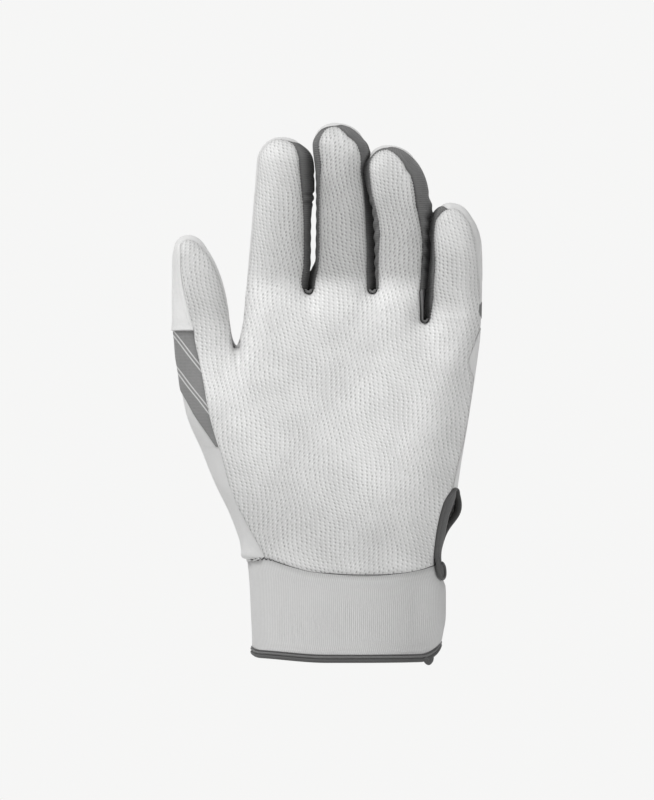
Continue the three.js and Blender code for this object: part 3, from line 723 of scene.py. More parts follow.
    def curl(self, x: Array, z: Array) -> Array:
        """Rise and fall of the palm side along the slightly curled fingers and their roots.

        Args:
            x: Places across.
            z: Heights.

        Returns:
            The rise, negative where the palm side falls.
        """
        across = x - self.form.lines[3](z)
        width = lerp(8.0, 0.7, smoothstep(z, 130.0, 146.0))
        lower_root = self.form.knuckle_height - self.form.little_cut
        level = z + lower_root * smoothstep(across / width, -1.0, 1.0)
        return self.finger_rise(level) * smoothstep(x, -47.0, -43.0)

    def place(self, spots: Spots, offset: float) -> Array:
        """Points of a grid of spots at a distance off the skin.

        Args:
            spots: The grid.
            offset: Distance outward, added to each spot's lift.

        Returns:
            Points in millimetres, with the grid's shape and three numbers each.
        """
        x = spots.x.ravel()
        z = spots.z.ravel()
        side = spots.side.ravel()
        away = spots.lift.ravel() + offset
        distance, in_x, in_z = self.nearest(x, z)
        radius = self.edge_radius(x, z)
        outward = np.where(distance < radius, 1.0 - distance / radius, 0.0)
        points = np.stack([
            x - in_x * outward * away,
            side * (self.depth(x, z, side) + away) * np.sqrt(np.maximum(1.0 - outward**2, 0.0)),
            z - in_z * outward * away,
        ], axis=1)
        if spots.forward is not None:
            points[:, 1] -= spots.forward.ravel()
        return points.reshape(spots.x.shape + (3,))


def arc_pattern(points: Array) -> Array:
    """Flat pattern of a grid, from the lengths along its rows and columns.

    Args:
        points: Grid of points.

    Returns:
        Two pattern coordinates for each point.
    """
    across = np.linalg.norm(np.diff(points, axis=1), axis=2)
    along = np.linalg.norm(np.diff(points, axis=0), axis=2)
    u = np.concatenate([np.zeros((points.shape[0], 1)), np.cumsum(across, axis=1)], axis=1)
    v = np.concatenate([np.zeros((1, points.shape[1])), np.cumsum(along, axis=0)], axis=0)
    return np.stack([u - u[:, -1:] / 2.0, v], axis=2)


# Materials.
class Graph:
    """Adds and links nodes in one node tree."""

    def __init__(self, tree: Tree) -> None:
        """Starts on a node tree."""
        self.tree = tree

    def add(self, kind: str, inputs: Optional[dict] = None, **settings: object) -> Node:
        """Adds a node.

        Args:
            kind: Name of the node type.
            inputs: Values or sockets for its inputs, by name or number.
            **settings: Properties of the node.

        Returns:
            The node.
        """
        node = self.tree.nodes.new(kind)
        for name, value in settings.items():
            setattr(node, name, value)
        for name, value in (inputs or {}).items():
            self.feed(node.inputs[name], value)
        return node

    def feed(self, socket: Socket, value: Value) -> None:
        """Links a socket to an input, or sets the input's value.

        Args:
            socket: The input.
            value: A socket or a value.
        """
        if isinstance(value, Socket):
            self.tree.links.new(value, socket)
        else:
            socket.default_value = value

    def math(self, operation: str, first: Value, second: Value = 0.0, third: Value = 0.0) -> Socket:
        """Result of a Math node."""
        node = self.add("ShaderNodeMath", {0: first, 1: second, 2: third}, operation=operation)
        return node.outputs[0]

    def ramp(self, value: Value, low: float, high: float, start: float = 0.0, end: float = 1.0) -> Socket:
        """Smooth change of a value between two limits."""
        inputs = {"Value": value, "From Min": low, "From Max": high, "To Min": start, "To Max": end}
        return self.add("ShaderNodeMapRange", inputs, interpolation_type="SMOOTHSTEP").outputs["Result"]

    def mix(self, share: Value, first: Value, second: Value, blend: str = "MIX") -> Socket:
        """Adds a colour mix.

        Args:
            share: Share of the second colour.
            first: First colour or socket.
            second: Second colour or socket.
            blend: How the colours are put together.

        Returns:
            The colour socket.
        """
        node = self.add("ShaderNodeMix", data_type="RGBA", blend_type=blend)
        self.feed(node.inputs["Factor"], share)
        self.feed(node.inputs["A"], first)
        self.feed(node.inputs["B"], second)
        return node.outputs["Result"]


class SharedEffects:
    """Shader node groups that several finishes use, each built once."""

    def __init__(self) -> None:
        """Builds the groups."""
        self.emboss = self._emboss()
        self.weave = self._weave()
        self.grain = self._grain()

    @staticmethod
    def _start(name: str, inputs: dict, outputs: Sequence[str]) -> tuple:
        """Makes an empty group with its sockets.

        Args:
            name: Name of the group.
            inputs: Default value of each number input, by name. A Pattern vector comes first.
            outputs: Names of the number outputs.

        Returns:
            The group, a graph on it, its input node and its output node.
        """
        group = bpy.data.node_groups.new(name, "ShaderNodeTree")
        group.interface.new_socket("Pattern", in_out="INPUT", socket_type="NodeSocketVector")
        for socket_name, value in inputs.items():
            socket = group.interface.new_socket(socket_name, in_out="INPUT", socket_type="NodeSocketFloat")
            socket.default_value = value
        for socket_name in outputs:
            group.interface.new_socket(socket_name, in_out="OUTPUT", socket_type="NodeSocketFloat")
        graph = Graph(group)
        return group, graph, graph.add("NodeGroupInput"), graph.add("NodeGroupOutput")

    def _emboss(self) -> Tree:
        """Small pressed dashes in staggered columns that sway from side to side, each with a painted
        highlight beside it.
        """
        group, graph, given, result = self._start(
            "pressed_dashes",
            {"Pitch Across": 1.91, "Pitch Along": 1.6, "Half Width": 0.43, "Half Length": 0.6, "Sway": 0.7},
            ("Pit", "Painted Highlight", "Chance"),
        )
        wave_along = 33.0
        wave_across = 46.0
        split = graph.add("ShaderNodeSeparateXYZ", {0: given.outputs["Pattern"]})
        u = split.outputs[0]
        v = split.outputs[1]
        slow = graph.math("DIVIDE", u, wave_across * 2.0)
        phase = graph.math("ADD", slow, graph.math("DIVIDE", v, wave_along))
        quick = graph.math("DIVIDE", u, wave_across)
        drift = graph.math("SUBTRACT", quick, graph.math("DIVIDE", v, wave_along * 3.0))
        sideways = graph.math("SINE", graph.math("MULTIPLY", phase, 2.0 * math.pi))
        upward = graph.math("SINE", graph.math("MULTIPLY", drift, 2.0 * math.pi))
        slant = math.radians(8.0)
        level = graph.math("MULTIPLY_ADD", v, math.sin(slant), graph.math("MULTIPLY", u, math.cos(slant)))
        height = graph.math("MULTIPLY_ADD", v, math.cos(slant), graph.math("MULTIPLY", u, -math.sin(slant)))
        column = graph.math("MULTIPLY_ADD", sideways, given.outputs["Sway"], level)
        column = graph.math("DIVIDE", column, given.outputs["Pitch Across"])
        row = graph.math("MULTIPLY_ADD", upward, given.outputs["Sway"], height)
        row = graph.math("DIVIDE", row, given.outputs["Pitch Along"])
        column_number = graph.math("FLOOR", column)
        row = graph.math("ADD", row, graph.math("FRACT", graph.math("MULTIPLY", column_number, 0.5)))
        row_number = graph.math("FLOOR", row)
        cell = graph.add("ShaderNodeCombineXYZ", {0: column_number, 1: row_number})
        noise = graph.add("ShaderNodeTexWhiteNoise", {"Vector": cell.outputs[0]}, noise_dimensions="2D")
        stray = graph.add("ShaderNodeSeparateXYZ", {0: noise.outputs["Color"]})
        middle_across = graph.math("MULTIPLY_ADD", stray.outputs[0], 0.3, 0.35)
        middle_along = graph.math("MULTIPLY_ADD", stray.outputs[1], 0.16, 0.42)
        across = graph.math("SUBTRACT", graph.math("FRACT", column), middle_across)
        along = graph.math("SUBTRACT", graph.math("FRACT", row), middle_along)
        across = graph.math("MULTIPLY_ADD", graph.math("MULTIPLY", along, upward), 0.4, across)
        wide = graph.math("DIVIDE", given.outputs["Pitch Across"], given.outputs["Half Width"])
        across = graph.math("MULTIPLY", across, wide)
        long = graph.math("DIVIDE", given.outputs["Pitch Along"], given.outputs["Half Length"])
        along = graph.math("MULTIPLY", along, long)
        distance = self._length(graph, across, along)
        # Painted highlight: a light spot just beside each dash.
        beside = self._length(graph, graph.math("ADD", across, 1.7), graph.math("ADD", along, 0.35))
        pit = graph.ramp(distance, 0.3, 1.15, 1.0, 0.0)
        graph.feed(result.inputs["Pit"], pit)
        graph.feed(result.inputs["Painted Highlight"], graph.ramp(beside, 0.2, 1.1, 1.0, 0.0))
        graph.feed(result.inputs["Chance"], noise.outputs["Value"])
        return group

    @staticmethod
    def _length(graph: Graph, across: Socket, along: Socket) -> Socket:
        """Length of a flat vector.

        Args:
            graph: The graph to add to.
            across: First part of the vector.
            along: Second part of the vector.

        Returns:
            The length's socket.
        """
        squared_along = graph.math("MULTIPLY", along, along)
        squared = graph.math("ADD", graph.math("MULTIPLY", across, across), squared_along)
        return graph.math("SQRT", squared)

    def _weave(self) -> Tree:
        """Over-and-under threads, with uneven yarn."""
        group, graph, given, result = self._start(
            "woven_threads", {"Pitch Across": 0.7, "Pitch Along": 0.7, "Rib": 0.0, "Slubs": 0.5},
            ("Height",),
        )
        split = graph.add("ShaderNodeSeparateXYZ", {0: given.outputs["Pattern"]})
        column = graph.math("DIVIDE", split.outputs[0], given.outputs["Pitch Across"])
        row = graph.math("DIVIDE", split.outputs[1], given.outputs["Pitch Along"])
        across = graph.math("SINE", graph.math("MULTIPLY", column, 2.0 * math.pi))
        along = graph.math("SINE", graph.math("MULTIPLY", row, 2.0 * math.pi))
        plain = graph.math("SUBTRACT", 1.0, given.outputs["Rib"])
        over = graph.math("MULTIPLY", across, graph.math("MULTIPLY_ADD", along, plain, given.outputs["Rib"]))
        noise = graph.add(
            "ShaderNodeTexNoise", {"Vector": given.outputs["Pattern"], "Scale": 0.8, "Detail": 3.0}
        )
        tone = graph.math("MULTIPLY", graph.math("SUBTRACT", noise.outputs[0], 0.5), given.outputs["Slubs"])
        height = graph.math("ADD", graph.math("MULTIPLY_ADD", over, 0.5, 0.5), tone)
        graph.feed(result.inputs["Height"], height)
        return group

    def _grain(self) -> Tree:
        """Fine pebbled leather grain with softer patches."""
        group, graph, given, result = self._start(
            "leather_grain", {"Cell Size": 0.6, "Patch Size": 14.0}, ("Height", "Tone")
        )
        cells = graph.add("ShaderNodeTexVoronoi", {
            "Vector": given.outputs["Pattern"],
            "Scale": graph.math("DIVIDE", 1.0, given.outputs["Cell Size"]),
        }, voronoi_dimensions="2D")
        patches = graph.add("ShaderNodeTexNoise", {
            "Vector": given.outputs["Pattern"],
            "Scale": graph.math("DIVIDE", 1.0, given.outputs["Patch Size"]),
            "Detail": 4.0,
        })
        graph.feed(result.inputs["Height"], graph.ramp(cells.outputs["Distance"], 0.1, 0.6, 1.0, 0.0))
        graph.feed(result.inputs["Tone"], graph.math("SUBTRACT", patches.outputs[0], 0.5))
        return group


def grey(level: float) -> tuple:
    """Linear colour of an even grey that is given as it looks on screen, from 0 to 255.

    Args:
        level: Level on screen, from 0 to 255.

    Returns:
        Red, green, blue and alpha.
    """
    share = level / 255.0
    linear = share / 12.92 if share <= 0.04045 else ((share + 0.055) / 1.055) ** 2.4
    return (linear, linear, linear * 0.995, 1.0)


@dataclass(frozen=True)
class Finish:
    """A procedural finish: a base shader, the pattern coordinates and the seam mask, which darkens the seams
    and also carries painted shade.

    Attributes:
        name: Name of the material.
        tone: Level of grey on screen.
        roughness: Roughness of the surface.
        sheen: Soft sheen at glancing angles.
        specular: Level of the reflection.
    """

    name: str
    tone: float
    roughness: float = 0.7
    sheen: float = 0.0
    specular: float = 0.3

    def build(self, effects: SharedEffects) -> bpy.types.Material:
        """Makes the material.

        Args:
            effects: The shared node groups.

        Returns:
            The finished material.
        """
        material = bpy.data.materials.new(self.name)
        material.use_nodes = True
        graph = Graph(material.node_tree)
        shader = material.node_tree.nodes["Principled BSDF"]
        shader.inputs["Roughness"].default_value = self.roughness
        shader.inputs["Specular IOR Level"].default_value = self.specular
        shader.inputs["Sheen Weight"].default_value = self.sheen
        pattern = graph.add("ShaderNodeAttribute", attribute_name="pattern").outputs["Vector"]
        # The seam mask darkens the seams; some pieces add painted shade to it.
        seam = graph.add("ShaderNodeAttribute", attribute_name="seam").outputs["Fac"]
        self.paint(graph, shader, effects, pattern, seam)
        return material

    def paint(self, graph: Graph, shader: Node, effects: SharedEffects,
              pattern: Socket, seam: Socket) -> None:
        """Gives the shader its colour and its surface, from the pattern in millimetres and the seam mask,
        which also carries painted shade.
        """
        raise NotImplementedError

    def effect(self, graph: Graph, group: Tree, pattern: Socket,
               **values: float) -> Node:
        """Places a shared group.

        Args:
            graph: The material's graph.
            group: The group.
            pattern: Pattern coordinates.
            **values: Values of its inputs, with underscores for spaces.

        Returns:
            The group's node.
        """
        node = graph.add("ShaderNodeGroup", node_tree=group)
        graph.feed(node.inputs["Pattern"], pattern)
        for name, value in values.items():
            node.inputs[name.replace("_", " ")].default_value = value
        return node

    def bump(self, graph: Graph, shader: Node, height: Socket, depth: float) -> None:
        """Feeds a height to the shader's normal."""
        node = graph.add("ShaderNodeBump", {"Height": height, "Strength": 1.0, "Distance": depth * MM})
        graph.feed(shader.inputs["Normal"], node.outputs["Normal"])


@dataclass(frozen=True)
class EmbossedLeather(Finish):
    """Palm leather with pressed dashes.

    Attributes:
        pit_tone: Level of grey in the dashes, for dirt in them and painted shade.
        weakest: Strength of the weakest dash.
        spread: How much stronger the strongest dash is.
        pressed: How much stronger the dashes are where the seam mask is full, at the seams and in the
            painted shade.
        painted_highlight: Strength of the painted highlight beside a dash.
        painted_highlight_tone: How much lighter that painted highlight is than the leather.
        relief: Depth of the dashes in millimetres.
    """

    pit_tone: float = 172.0
    weakest: float = 0.42
    spread: float = 0.5
    pressed: float = 0.3
    painted_highlight: float = 0.7
    painted_highlight_tone: float = 28.0
    relief: float = 0.13

    def paint(
        self, graph: Graph, shader: Node, effects: SharedEffects, pattern: Socket, seam: Socket
    ) -> None:
        """Gives the leather its dashes, its grain, its pressed seams and the painted shade that the seam
        mask carries.

        Args:
            graph: The graph to add to.
            shader: The base shader.
            effects: The shared node groups.
            pattern: Pattern coordinates in millimetres.
            seam: The seam mask, with its painted shade.
        """
        dashes = self.effect(graph, effects.emboss, pattern)
        grain = self.effect(graph, effects.grain, pattern, Cell_Size=0.5)
        strength = graph.math("MULTIPLY_ADD", dashes.outputs["Chance"], self.spread, self.weakest)
        strength = graph.math("ADD", strength, graph.ramp(seam, 0.5, 1.0, 0.0, self.pressed))
        pit = graph.math("MULTIPLY", dashes.outputs["Pit"], strength)
        patch = graph.ramp(grain.outputs["Tone"], -0.25, 0.25)
        plain = graph.mix(patch, grey(self.tone - 7.0), grey(self.tone + 5.0))
        # Painted highlight beside each dash.
        highlight_share = graph.math("MULTIPLY", dashes.outputs["Painted Highlight"], self.painted_highlight)
        highlighted = graph.mix(highlight_share, plain, grey(self.tone + self.painted_highlight_tone))
        # Darker dashes: dirt in them and painted shade.
        dashed = graph.mix(pit, highlighted, grey(self.pit_tone))
        # Darker where the seam mask is: pressed seams, and painted shade in hollows and between the fingers.
        seams_and_shade = graph.mix(graph.math("MULTIPLY", seam, 0.35), dashed, grey(self.tone - 30.0), "MULTIPLY")
        graph.feed(shader.inputs["Base Color"], seams_and_shade)
        graph.feed(
            shader.inputs["Roughness"], graph.ramp(pit, 0.0, 1.0, self.roughness, self.roughness + 0.15)
        )
        height = graph.math("MULTIPLY_ADD", grain.outputs["Height"], 0.08, graph.math("MULTIPLY", pit, -1.0))
        self.bump(graph, shader, height, self.relief)


@dataclass(frozen=True)
class SmoothLeather(Finish):
    """Back leather with a fine grain.

    Attributes:
        relief: Depth of the grain in millimetres.
    """

    relief: float = 0.05

    def paint(
        self, graph: Graph, shader: Node, effects: SharedEffects, pattern: Socket, seam: Socket
    ) -> None:
        """Gives the leather its grain, its pressed seams and the painted shade that the seam mask carries.

        Args:
            graph: The graph to add to.
            shader: The base shader.
            effects: The shared node groups.
            pattern: Pattern coordinates in millimetres.
            seam: The seam mask, with its painted shade.
        """
        grain = self.effect(graph, effects.grain, pattern, Cell_Size=0.7, Patch_Size=18.0)
        patch = graph.ramp(grain.outputs["Tone"], -0.25, 0.25)
        plain = graph.mix(patch, grey(self.tone - 6.0), grey(self.tone + 3.0))
        # Darker where the seam mask is: pressed seams, and painted shade under the thumb's fold.
        seams_and_shade = graph.mix(graph.math("MULTIPLY", seam, 0.3), plain, grey(self.tone - 50.0))
        graph.feed(shader.inputs["Base Color"], seams_and_shade)
        graph.feed(
            shader.inputs["Roughness"], graph.ramp(patch, 0.0, 1.0, self.roughness, self.roughness + 0.1)
        )
        self.bump(graph, shader, grain.outputs["Height"], self.relief)


@dataclass(frozen=True)
class Cloth(Finish):
    """Woven or knitted cloth.

    Attributes:
        across: Pitch of the threads across.
        along: Pitch of the threads along.
        relief: Depth of the threads.
        contrast: Difference of tone between the threads and the hollows.
        seam_and_shade_strength: Darkening along the seams, and painted shade in the folds.
        rib: Share of plain ribs in the weave, from 0 to 1.
    """

    across: float = 0.7
    along: float = 0.7
    relief: float = 0.1
    contrast: float = 14.0
    seam_and_shade_strength: float = 0.3
    rib: float = 0.0

    def paint(
        self, graph: Graph, shader: Node, effects: SharedEffects, pattern: Socket, seam: Socket
    ) -> None:
        """Gives the cloth its threads, its pressed seams and the painted shade that the seam mask carries.

        Args:
            graph: The graph to add to.
            shader: The base shader.
            effects: The shared node groups.
            pattern: Pattern coordinates in millimetres.
            seam: The seam mask, with its painted shade.
        """
        threads = self.effect(
            graph, effects.weave, pattern, Pitch_Across=self.across, Pitch_Along=self.along, Rib=self.rib
        )
        height = threads.outputs["Height"]
        colour = graph.mix(
            graph.ramp(height, 0.0, 1.0), grey(self.tone - self.contrast), grey(self.tone + self.contrast)
        )
        colour = self.trim(graph, pattern, colour)
        # Darker where the seam mask is: seams, and painted shade deep in the walls and forks.
        seams_and_shade = graph.mix(graph.math("MULTIPLY", seam, self.seam_and_shade_strength), colour, grey(self.tone * 0.4))
        graph.feed(shader.inputs["Base Color"], seams_and_shade)
        self.bump(graph, shader, height, self.relief)

    def trim(self, graph: Graph, pattern: Socket, colour: Socket) -> Socket:
        """Adds a print to the cloth. Plain cloth has none."""
        return colour


@dataclass(frozen=True)
class StripedCloth(Cloth):
    """Cloth with pairs of thin light slanting lines.

    Attributes:
        stripe_pitch: Distance from pair to pair.
        stripe_tone: Level of grey of the lines.
    """

    stripe_pitch: float = 11.0
    stripe_tone: float = 205.0

    PAIR = (0.4, 0.56)

    def trim(self, graph: Graph, pattern: Socket, colour: Socket) -> Socket:
        """Adds the lines.

        Args:
            graph: The graph to add to.
            pattern: Pattern coordinates in millimetres.
            colour: Colour of the plain cloth.

        Returns:
            The colour with the lines.
        """
        split = graph.add("ShaderNodeSeparateXYZ", {0: pattern})
        slant = graph.math("MULTIPLY_ADD", split.outputs[0], 0.8, split.outputs[1])
        place = graph.math("FRACT", graph.math("DIVIDE", slant, self.stripe_pitch))
        away = [graph.math("ABSOLUTE", graph.math("SUBTRACT", place, at)) for at in self.PAIR]
        lines = [graph.ramp(distance, 0.02, 0.04, 1.0, 0.0) for distance in away]
        return graph.mix(graph.math("MAXIMUM", *lines), colour, grey(self.stripe_tone))


class Wardrobe:
    """All the finishes of the glove, and the slots that some of them share."""

    def __init__(self) -> None:
        """Makes every material."""
        effects = SharedEffects()
        finishes = [
            EmbossedLeather("palm_leather", 220.0, 0.62),
            SmoothLeather("back_leather", 226.0, 0.5),
            Cloth("dark_stretch", 112.0, 0.8, 0.2, across=0.86, along=2.6, relief=0.14, contrast=8.0,
                                  seam_and_shade_strength=0.9, rib=0.7),
            StripedCloth("grey_stretch", 134.0, 0.8, 0.1, across=0.62, along=1.9, contrast=9.0, rib=0.6),
            Cloth("side_fabric", 218.0, 0.8, 0.15, across=0.55, along=0.55, relief=0.06, contrast=6.0),
            Cloth(
                "cuff_rib", 203.0, 0.85, 0.15, across=0.86, along=0.6, relief=0.06, contrast=9.0, rib=0.85
            ),
            Cloth("binding", 84.0, 0.7, 0.15, across=0.5, along=0.5, relief=0.04, contrast=8.0),
            Cloth("loop_tape", 140.0, 0.95, 0.4, across=0.6, along=0.6, relief=0.3, contrast=16.0),
            Cloth("hook_tape", 64.0, 0.5, 0.0, across=0.9, along=0.9, relief=0.3, contrast=14.0),
            Cloth("binding_light", 108.0, 0.7, 0.15, across=0.5, along=0.5, relief=0.04, contrast=8.0,
                                   seam_and_shade_strength=0.85),
            # Stretch cloth painted near-black: painted shade inside the glove, seen through the slit.
            Cloth("dark_stretch_in_painted_shade", 34.0, 0.9, 0.0, across=0.6, along=0.6, relief=0.05, contrast=6.0),
            Cloth("light_thread", 226.0, 0.6, 0.2, across=0.2, along=0.5, relief=0.05, contrast=8.0),
            Cloth("dark_thread", 58.0, 0.7, 0.2, across=0.2, along=0.5, relief=0.05, contrast=8.0),
        ]
        self.materials = {finish.name: finish.build(effects) for finish in finishes}
        self.shared_slots = {
            "light_thread": "back_leather", "dark_thread": "binding", "binding_light": "binding",
            "dark_stretch_in_painted_shade": "dark_stretch",
        }

    def dress(self, piece: Piece, finish: str) -> None:
        """Puts a finish on a piece.

        Args:
            piece: The piece.
            finish: Name of the finish.
        """
        piece.data.materials.clear()
        piece.data.materials.append(self.materials[finish])


# Making of the pieces.
@dataclass(frozen=True)
class Bend:
    """Where a piece bends between the hand and a moving body.

    Attributes:
        body: The moving body.
        start: Point before which the piece stays with the hand.
        end: Point after which it follows the body.
    """

    body: str
    start: tuple
    end: tuple


class Tailor:
    """Cuts, thickens, dresses and hangs the pieces."""

    SMOOTH_ANGLE = math.radians(48.0)
    MERGE = 1e-5
    NARROWEST_SHEET = 0.0102

    def __init__(self, skin: Skin, wardrobe: Wardrobe) -> None:
        """Takes the skin to work on and the finishes."""
        self.skin = skin
        self.wardrobe = wardrobe

    @staticmethod
    def select(*pieces: Piece) -> None:
        """Selects only these pieces, with the first one active."""
        bpy.ops.object.select_all(action="DESELECT")
        for piece in pieces:
            piece.select_set(True)
        bpy.context.view_layer.objects.active = pieces[0]

    def lay_out(self, spots: Spots, offset: float = 0.0) -> None:
        """Gives a grid the flat pattern that its lengths on the skin make."""
        spots.pattern = arc_pattern(self.skin.place(spots, offset))

    @staticmethod
    def grid(name: str, points: Array, pattern: Array, seam: Array) -> Piece:
        """Adds a grid and moves its corners to their places.

        Args:
            name: Name of the piece.
            points: Grid of points in millimetres.
            pattern: Pattern coordinates of each point.
            seam: Seam mask of each point: darker seams and painted shade.

        Returns:
            The open sheet.
        """
        rows, columns = points.shape[:2]
        bpy.ops.object.select_all(action="DESELECT")
        bpy.ops.mesh.primitive_grid_add(x_subdivisions=columns - 1, y_subdivisions=rows - 1, calc_uvs=False)
        piece = bpy.context.object
        piece.name = name
        piece.data.name = name
        piece.data.vertices.foreach_set("co", (points * MM).ravel())
        flat = np.concatenate([pattern, np.zeros(points.shape[:2] + (1,))], axis=2)
        piece.data.attributes.new("pattern", "FLOAT_VECTOR", "POINT").data.foreach_set(
            "vector", flat.ravel()
        )
        # The seam mask: darker seams, and painted shade where a piece adds it.
        piece.data.attributes.new("seam", "FLOAT", "POINT").data.foreach_set("value", seam.ravel())
        piece.data.update()
        return piece

    def merge(self, piece: Piece) -> None:
        """Merges corners that lie on each other.

        Args:
            piece: The piece.
        """
        self.select(piece)
        bpy.ops.object.mode_set(mode="EDIT")
        bpy.ops.mesh.select_all(action="SELECT")
        bpy.ops.mesh.remove_doubles(threshold=self.MERGE)
        bpy.ops.object.mode_set(mode="OBJECT")

    def join(self, name: str, parts: Sequence[Piece]) -> Piece:
        """Joins several open sheets into one.

        Args:
            name: Name of the result.
            parts: The sheets.

        Returns:
            The joined sheet.
        """
        self.select(*parts)
        if len(parts) > 1:
            bpy.ops.object.join()
        parts[0].name = name
        self.merge(parts[0])
        return parts[0]

    def smooth(self, piece: Piece) -> None:
        """Shades a piece smooth, apart from its sharp edges."""
        self.select(piece)
        bpy.ops.object.shade_smooth_by_angle(angle=self.SMOOTH_ANGLE)

    def sheet(self, name: str, grids: Sequence[Spots], seams: Sequence[Array], outer: float) -> Piece:
        """Makes an open sheet on the skin from one or more grids of spots.

        Args:
            name: Name of the piece.
            grids: The grids.
            seams: The seam mask of each grid, with its painted shade.
            outer: Distance of the sheet off the skin.

        Returns:
            The open sheet, with its faces outward.
        """
        parts = []
        for spots, seam in zip(grids, seams):
            points = self.skin.place(spots, outer)
            away = self.skin.place(spots, outer + 1.0) - points
            normal = np.cross(points[:-1, 1:] - points[:-1, :-1], points[1:, :-1] - points[:-1, :-1])
            pattern = np.stack([spots.x, spots.z], axis=2) if spots.pattern is None else spots.pattern
            # Columns are turned round where the faces would point inward.
            if np.sum(normal * away[:-1, :-1]) < 0.0:
                points = points[:, ::-1]
                pattern = pattern[:, ::-1]
                seam = seam[:, ::-1]
            parts.append(self.grid(name, points, pattern, seam))
        return self.join(name, parts)

    def thicken(self, piece: Piece, thickness: float) -> None:
        """Gives an open sheet its thickness, inward.

        Args:
            piece: The open sheet.
            thickness: Thickness in millimetres.
        """
        self.select(piece)
        solid = piece.modifiers.new("thickness", "SOLIDIFY")
        solid.thickness = thickness * MM
        solid.offset = -1.0
        bpy.ops.object.modifier_apply(modifier=solid.name)

    def hang(self, piece: Piece, finish: str, bend: Optional[Bend], body: str, nodes: Sequence[str]) -> None:
        """Dresses a finished piece and ties it to its body, or bakes its place into its mesh if it has a
        bend.

        Args:
            piece: The piece.
            finish: Name of its finish.
            bend: Where it bends, or None.
            body: The body that it rides on if it doesn't bend.
            nodes: The solids that it stands for.
        """
        self.smooth(piece)
        self.wardrobe.dress(piece, finish)
        if nodes:
            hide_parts(*nodes)
        if bend:
            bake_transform(piece)
        else:
            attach(piece, body)
        LOG.info("%s: %d faces, %s", piece.name, len(piece.data.polygons), finish)

    def cloth(self, name: str, grids: Sequence[Spots], seams: Sequence[Array], thickness: float, finish: str,
              outer: float = 0.0, bend: Optional[Bend] = None, body: str = "hand",
              nodes: Sequence[str] = ()) -> Piece:
        """Makes a finished panel of leather or cloth.

        Args:
            name: Name of the piece.
            grids: Grids of spots.
            seams: Seam mask of each grid, with its painted shade.
            thickness: Thickness in millimetres.
            finish: Name of its finish.
            outer: Distance of its outer face off the skin.
            bend: Where it bends, or None.
            body: The body it rides on if it doesn't bend.
            nodes: The solids that it stands for.

        Returns:
            The panel.
        """
        piece = self.sheet(name, grids, seams, outer)
        flat = np.zeros(len(piece.data.vertices) * 3)
        piece.data.attributes["pattern"].data.foreach_get("vector", flat)
        self.thicken(piece, thickness)
        self.hang(piece, finish, bend, body, nodes)
        return piece

    def frame_along(self, spots: Spots, offset: float, closed: bool = False) -> tuple:
        """Path along a row of spots, with the ways off and across the surface.

        Args:
            spots: A grid of one row.
            offset: Distance of the path off the skin.
            closed: Whether the last spot is the first one again.

        Returns:
            Points, unit vectors outward and unit vectors across.
        """
        path = self.skin.place(spots, offset)[0]
        outward = self.skin.place(spots, offset + 1.0)[0] - path
        along = np.gradient(path, axis=0)
        if closed:
            along[0] = along[-1] = path[1] - path[-2]
        across = np.cross(outward, along)
        across /= np.linalg.norm(across, axis=1, keepdims=True)
        outward = np.cross(along, across)
        outward /= np.linalg.norm(outward, axis=1, keepdims=True)
        return path, outward, across

    def tape(self, name: str, path: Array, across: Array, outward: Array, profile: Array, finish: str,
             closed: bool = False, bend: Optional[Bend] = None, body: str = "hand",
             nodes: Sequence[str] = ()) -> Piece:
        """Sweeps a closed profile along a path, with rounded ends.

        Args:
            name: Name of the piece.
            path: Points of the path in millimetres.
            across: Unit vectors across the tape at each point.
            outward: Unit vectors off the surface at each point.
            profile: Points of the profile, across and outward.
            finish: Name of the finish.
            closed: Whether the path closes on itself.
            bend: Where it bends, or None.
            body: The body it rides on if it doesn't bend.
            nodes: The solids that it stands for.

        Returns:
            The tape.
        """
        loop = np.concatenate([profile, profile[:1]])
        size = np.ones(len(path))
        middle = np.zeros(2)
        if not closed:
            length = run_along(path)
            end = np.minimum(length, length[-1] - length)
            # The profile shrinks to its middle over a rounded end.
            rounding = np.ptp(profile, axis=0).max() / 2.0
            size = np.sqrt(np.clip(1.0 - (1.0 - np.clip(end / rounding, 0.0, 1.0)) ** 2, 0.0, 1.0))
            middle = profile.mean(axis=0)
        shape = middle + (loop[:, None, :] - middle) * size[None, :, None]
        points = path[None] + shape[..., :1] * across[None] + shape[..., 1:] * outward[None]
        pattern = arc_pattern(points)
        piece = self.grid(name, points, pattern[..., ::-1], np.zeros(points.shape[:2]))
        self.merge(piece)
        bpy.ops.object.mode_set(mode="EDIT")
        bpy.ops.mesh.normals_make_consistent(inside=False)
        bpy.ops.object.mode_set(mode="OBJECT")
        self.hang(piece, finish, bend, body, nodes)
        return piece

    def stitches(self, name: str, path: Array, outward: Array, finish: str, pitch: float = 2.3,
                 length: float = 1.6, width: float = 0.42, bend: Optional[Bend] = None,
                 body: str = "hand") -> Piece:
        """Lays a run of stitches along a path.

        Args:
            name: Name of the run.
            path: Points of the path in millimetres.
            outward: Unit vectors off the surface.
            finish: Name of the thread's finish.
            pitch: Distance from stitch to stitch.
            length: Length of a stitch.
            width: Width of a stitch.
            bend: Where the run bends, or None.
            body: The body it rides on if it doesn't bend.

        Returns:
            The run, as one piece.
        """
        bpy.ops.object.select_all(action="DESELECT")
        bpy.ops.mesh.primitive_uv_sphere_add(segments=6, ring_count=4, radius=0.5)
        piece = bpy.context.object
        piece.name = name
        count = len(piece.data.vertices)
        ball = np.empty(count * 3)
        piece.data.vertices.foreach_get("co", ball)
        ball = ball.reshape(-1, 3)
        faces = [tuple(face.vertices) for face in piece.data.polygons]
        run = run_along(path)
        at = np.arange(pitch / 2.0, run[-1], pitch)
        near = 0.2

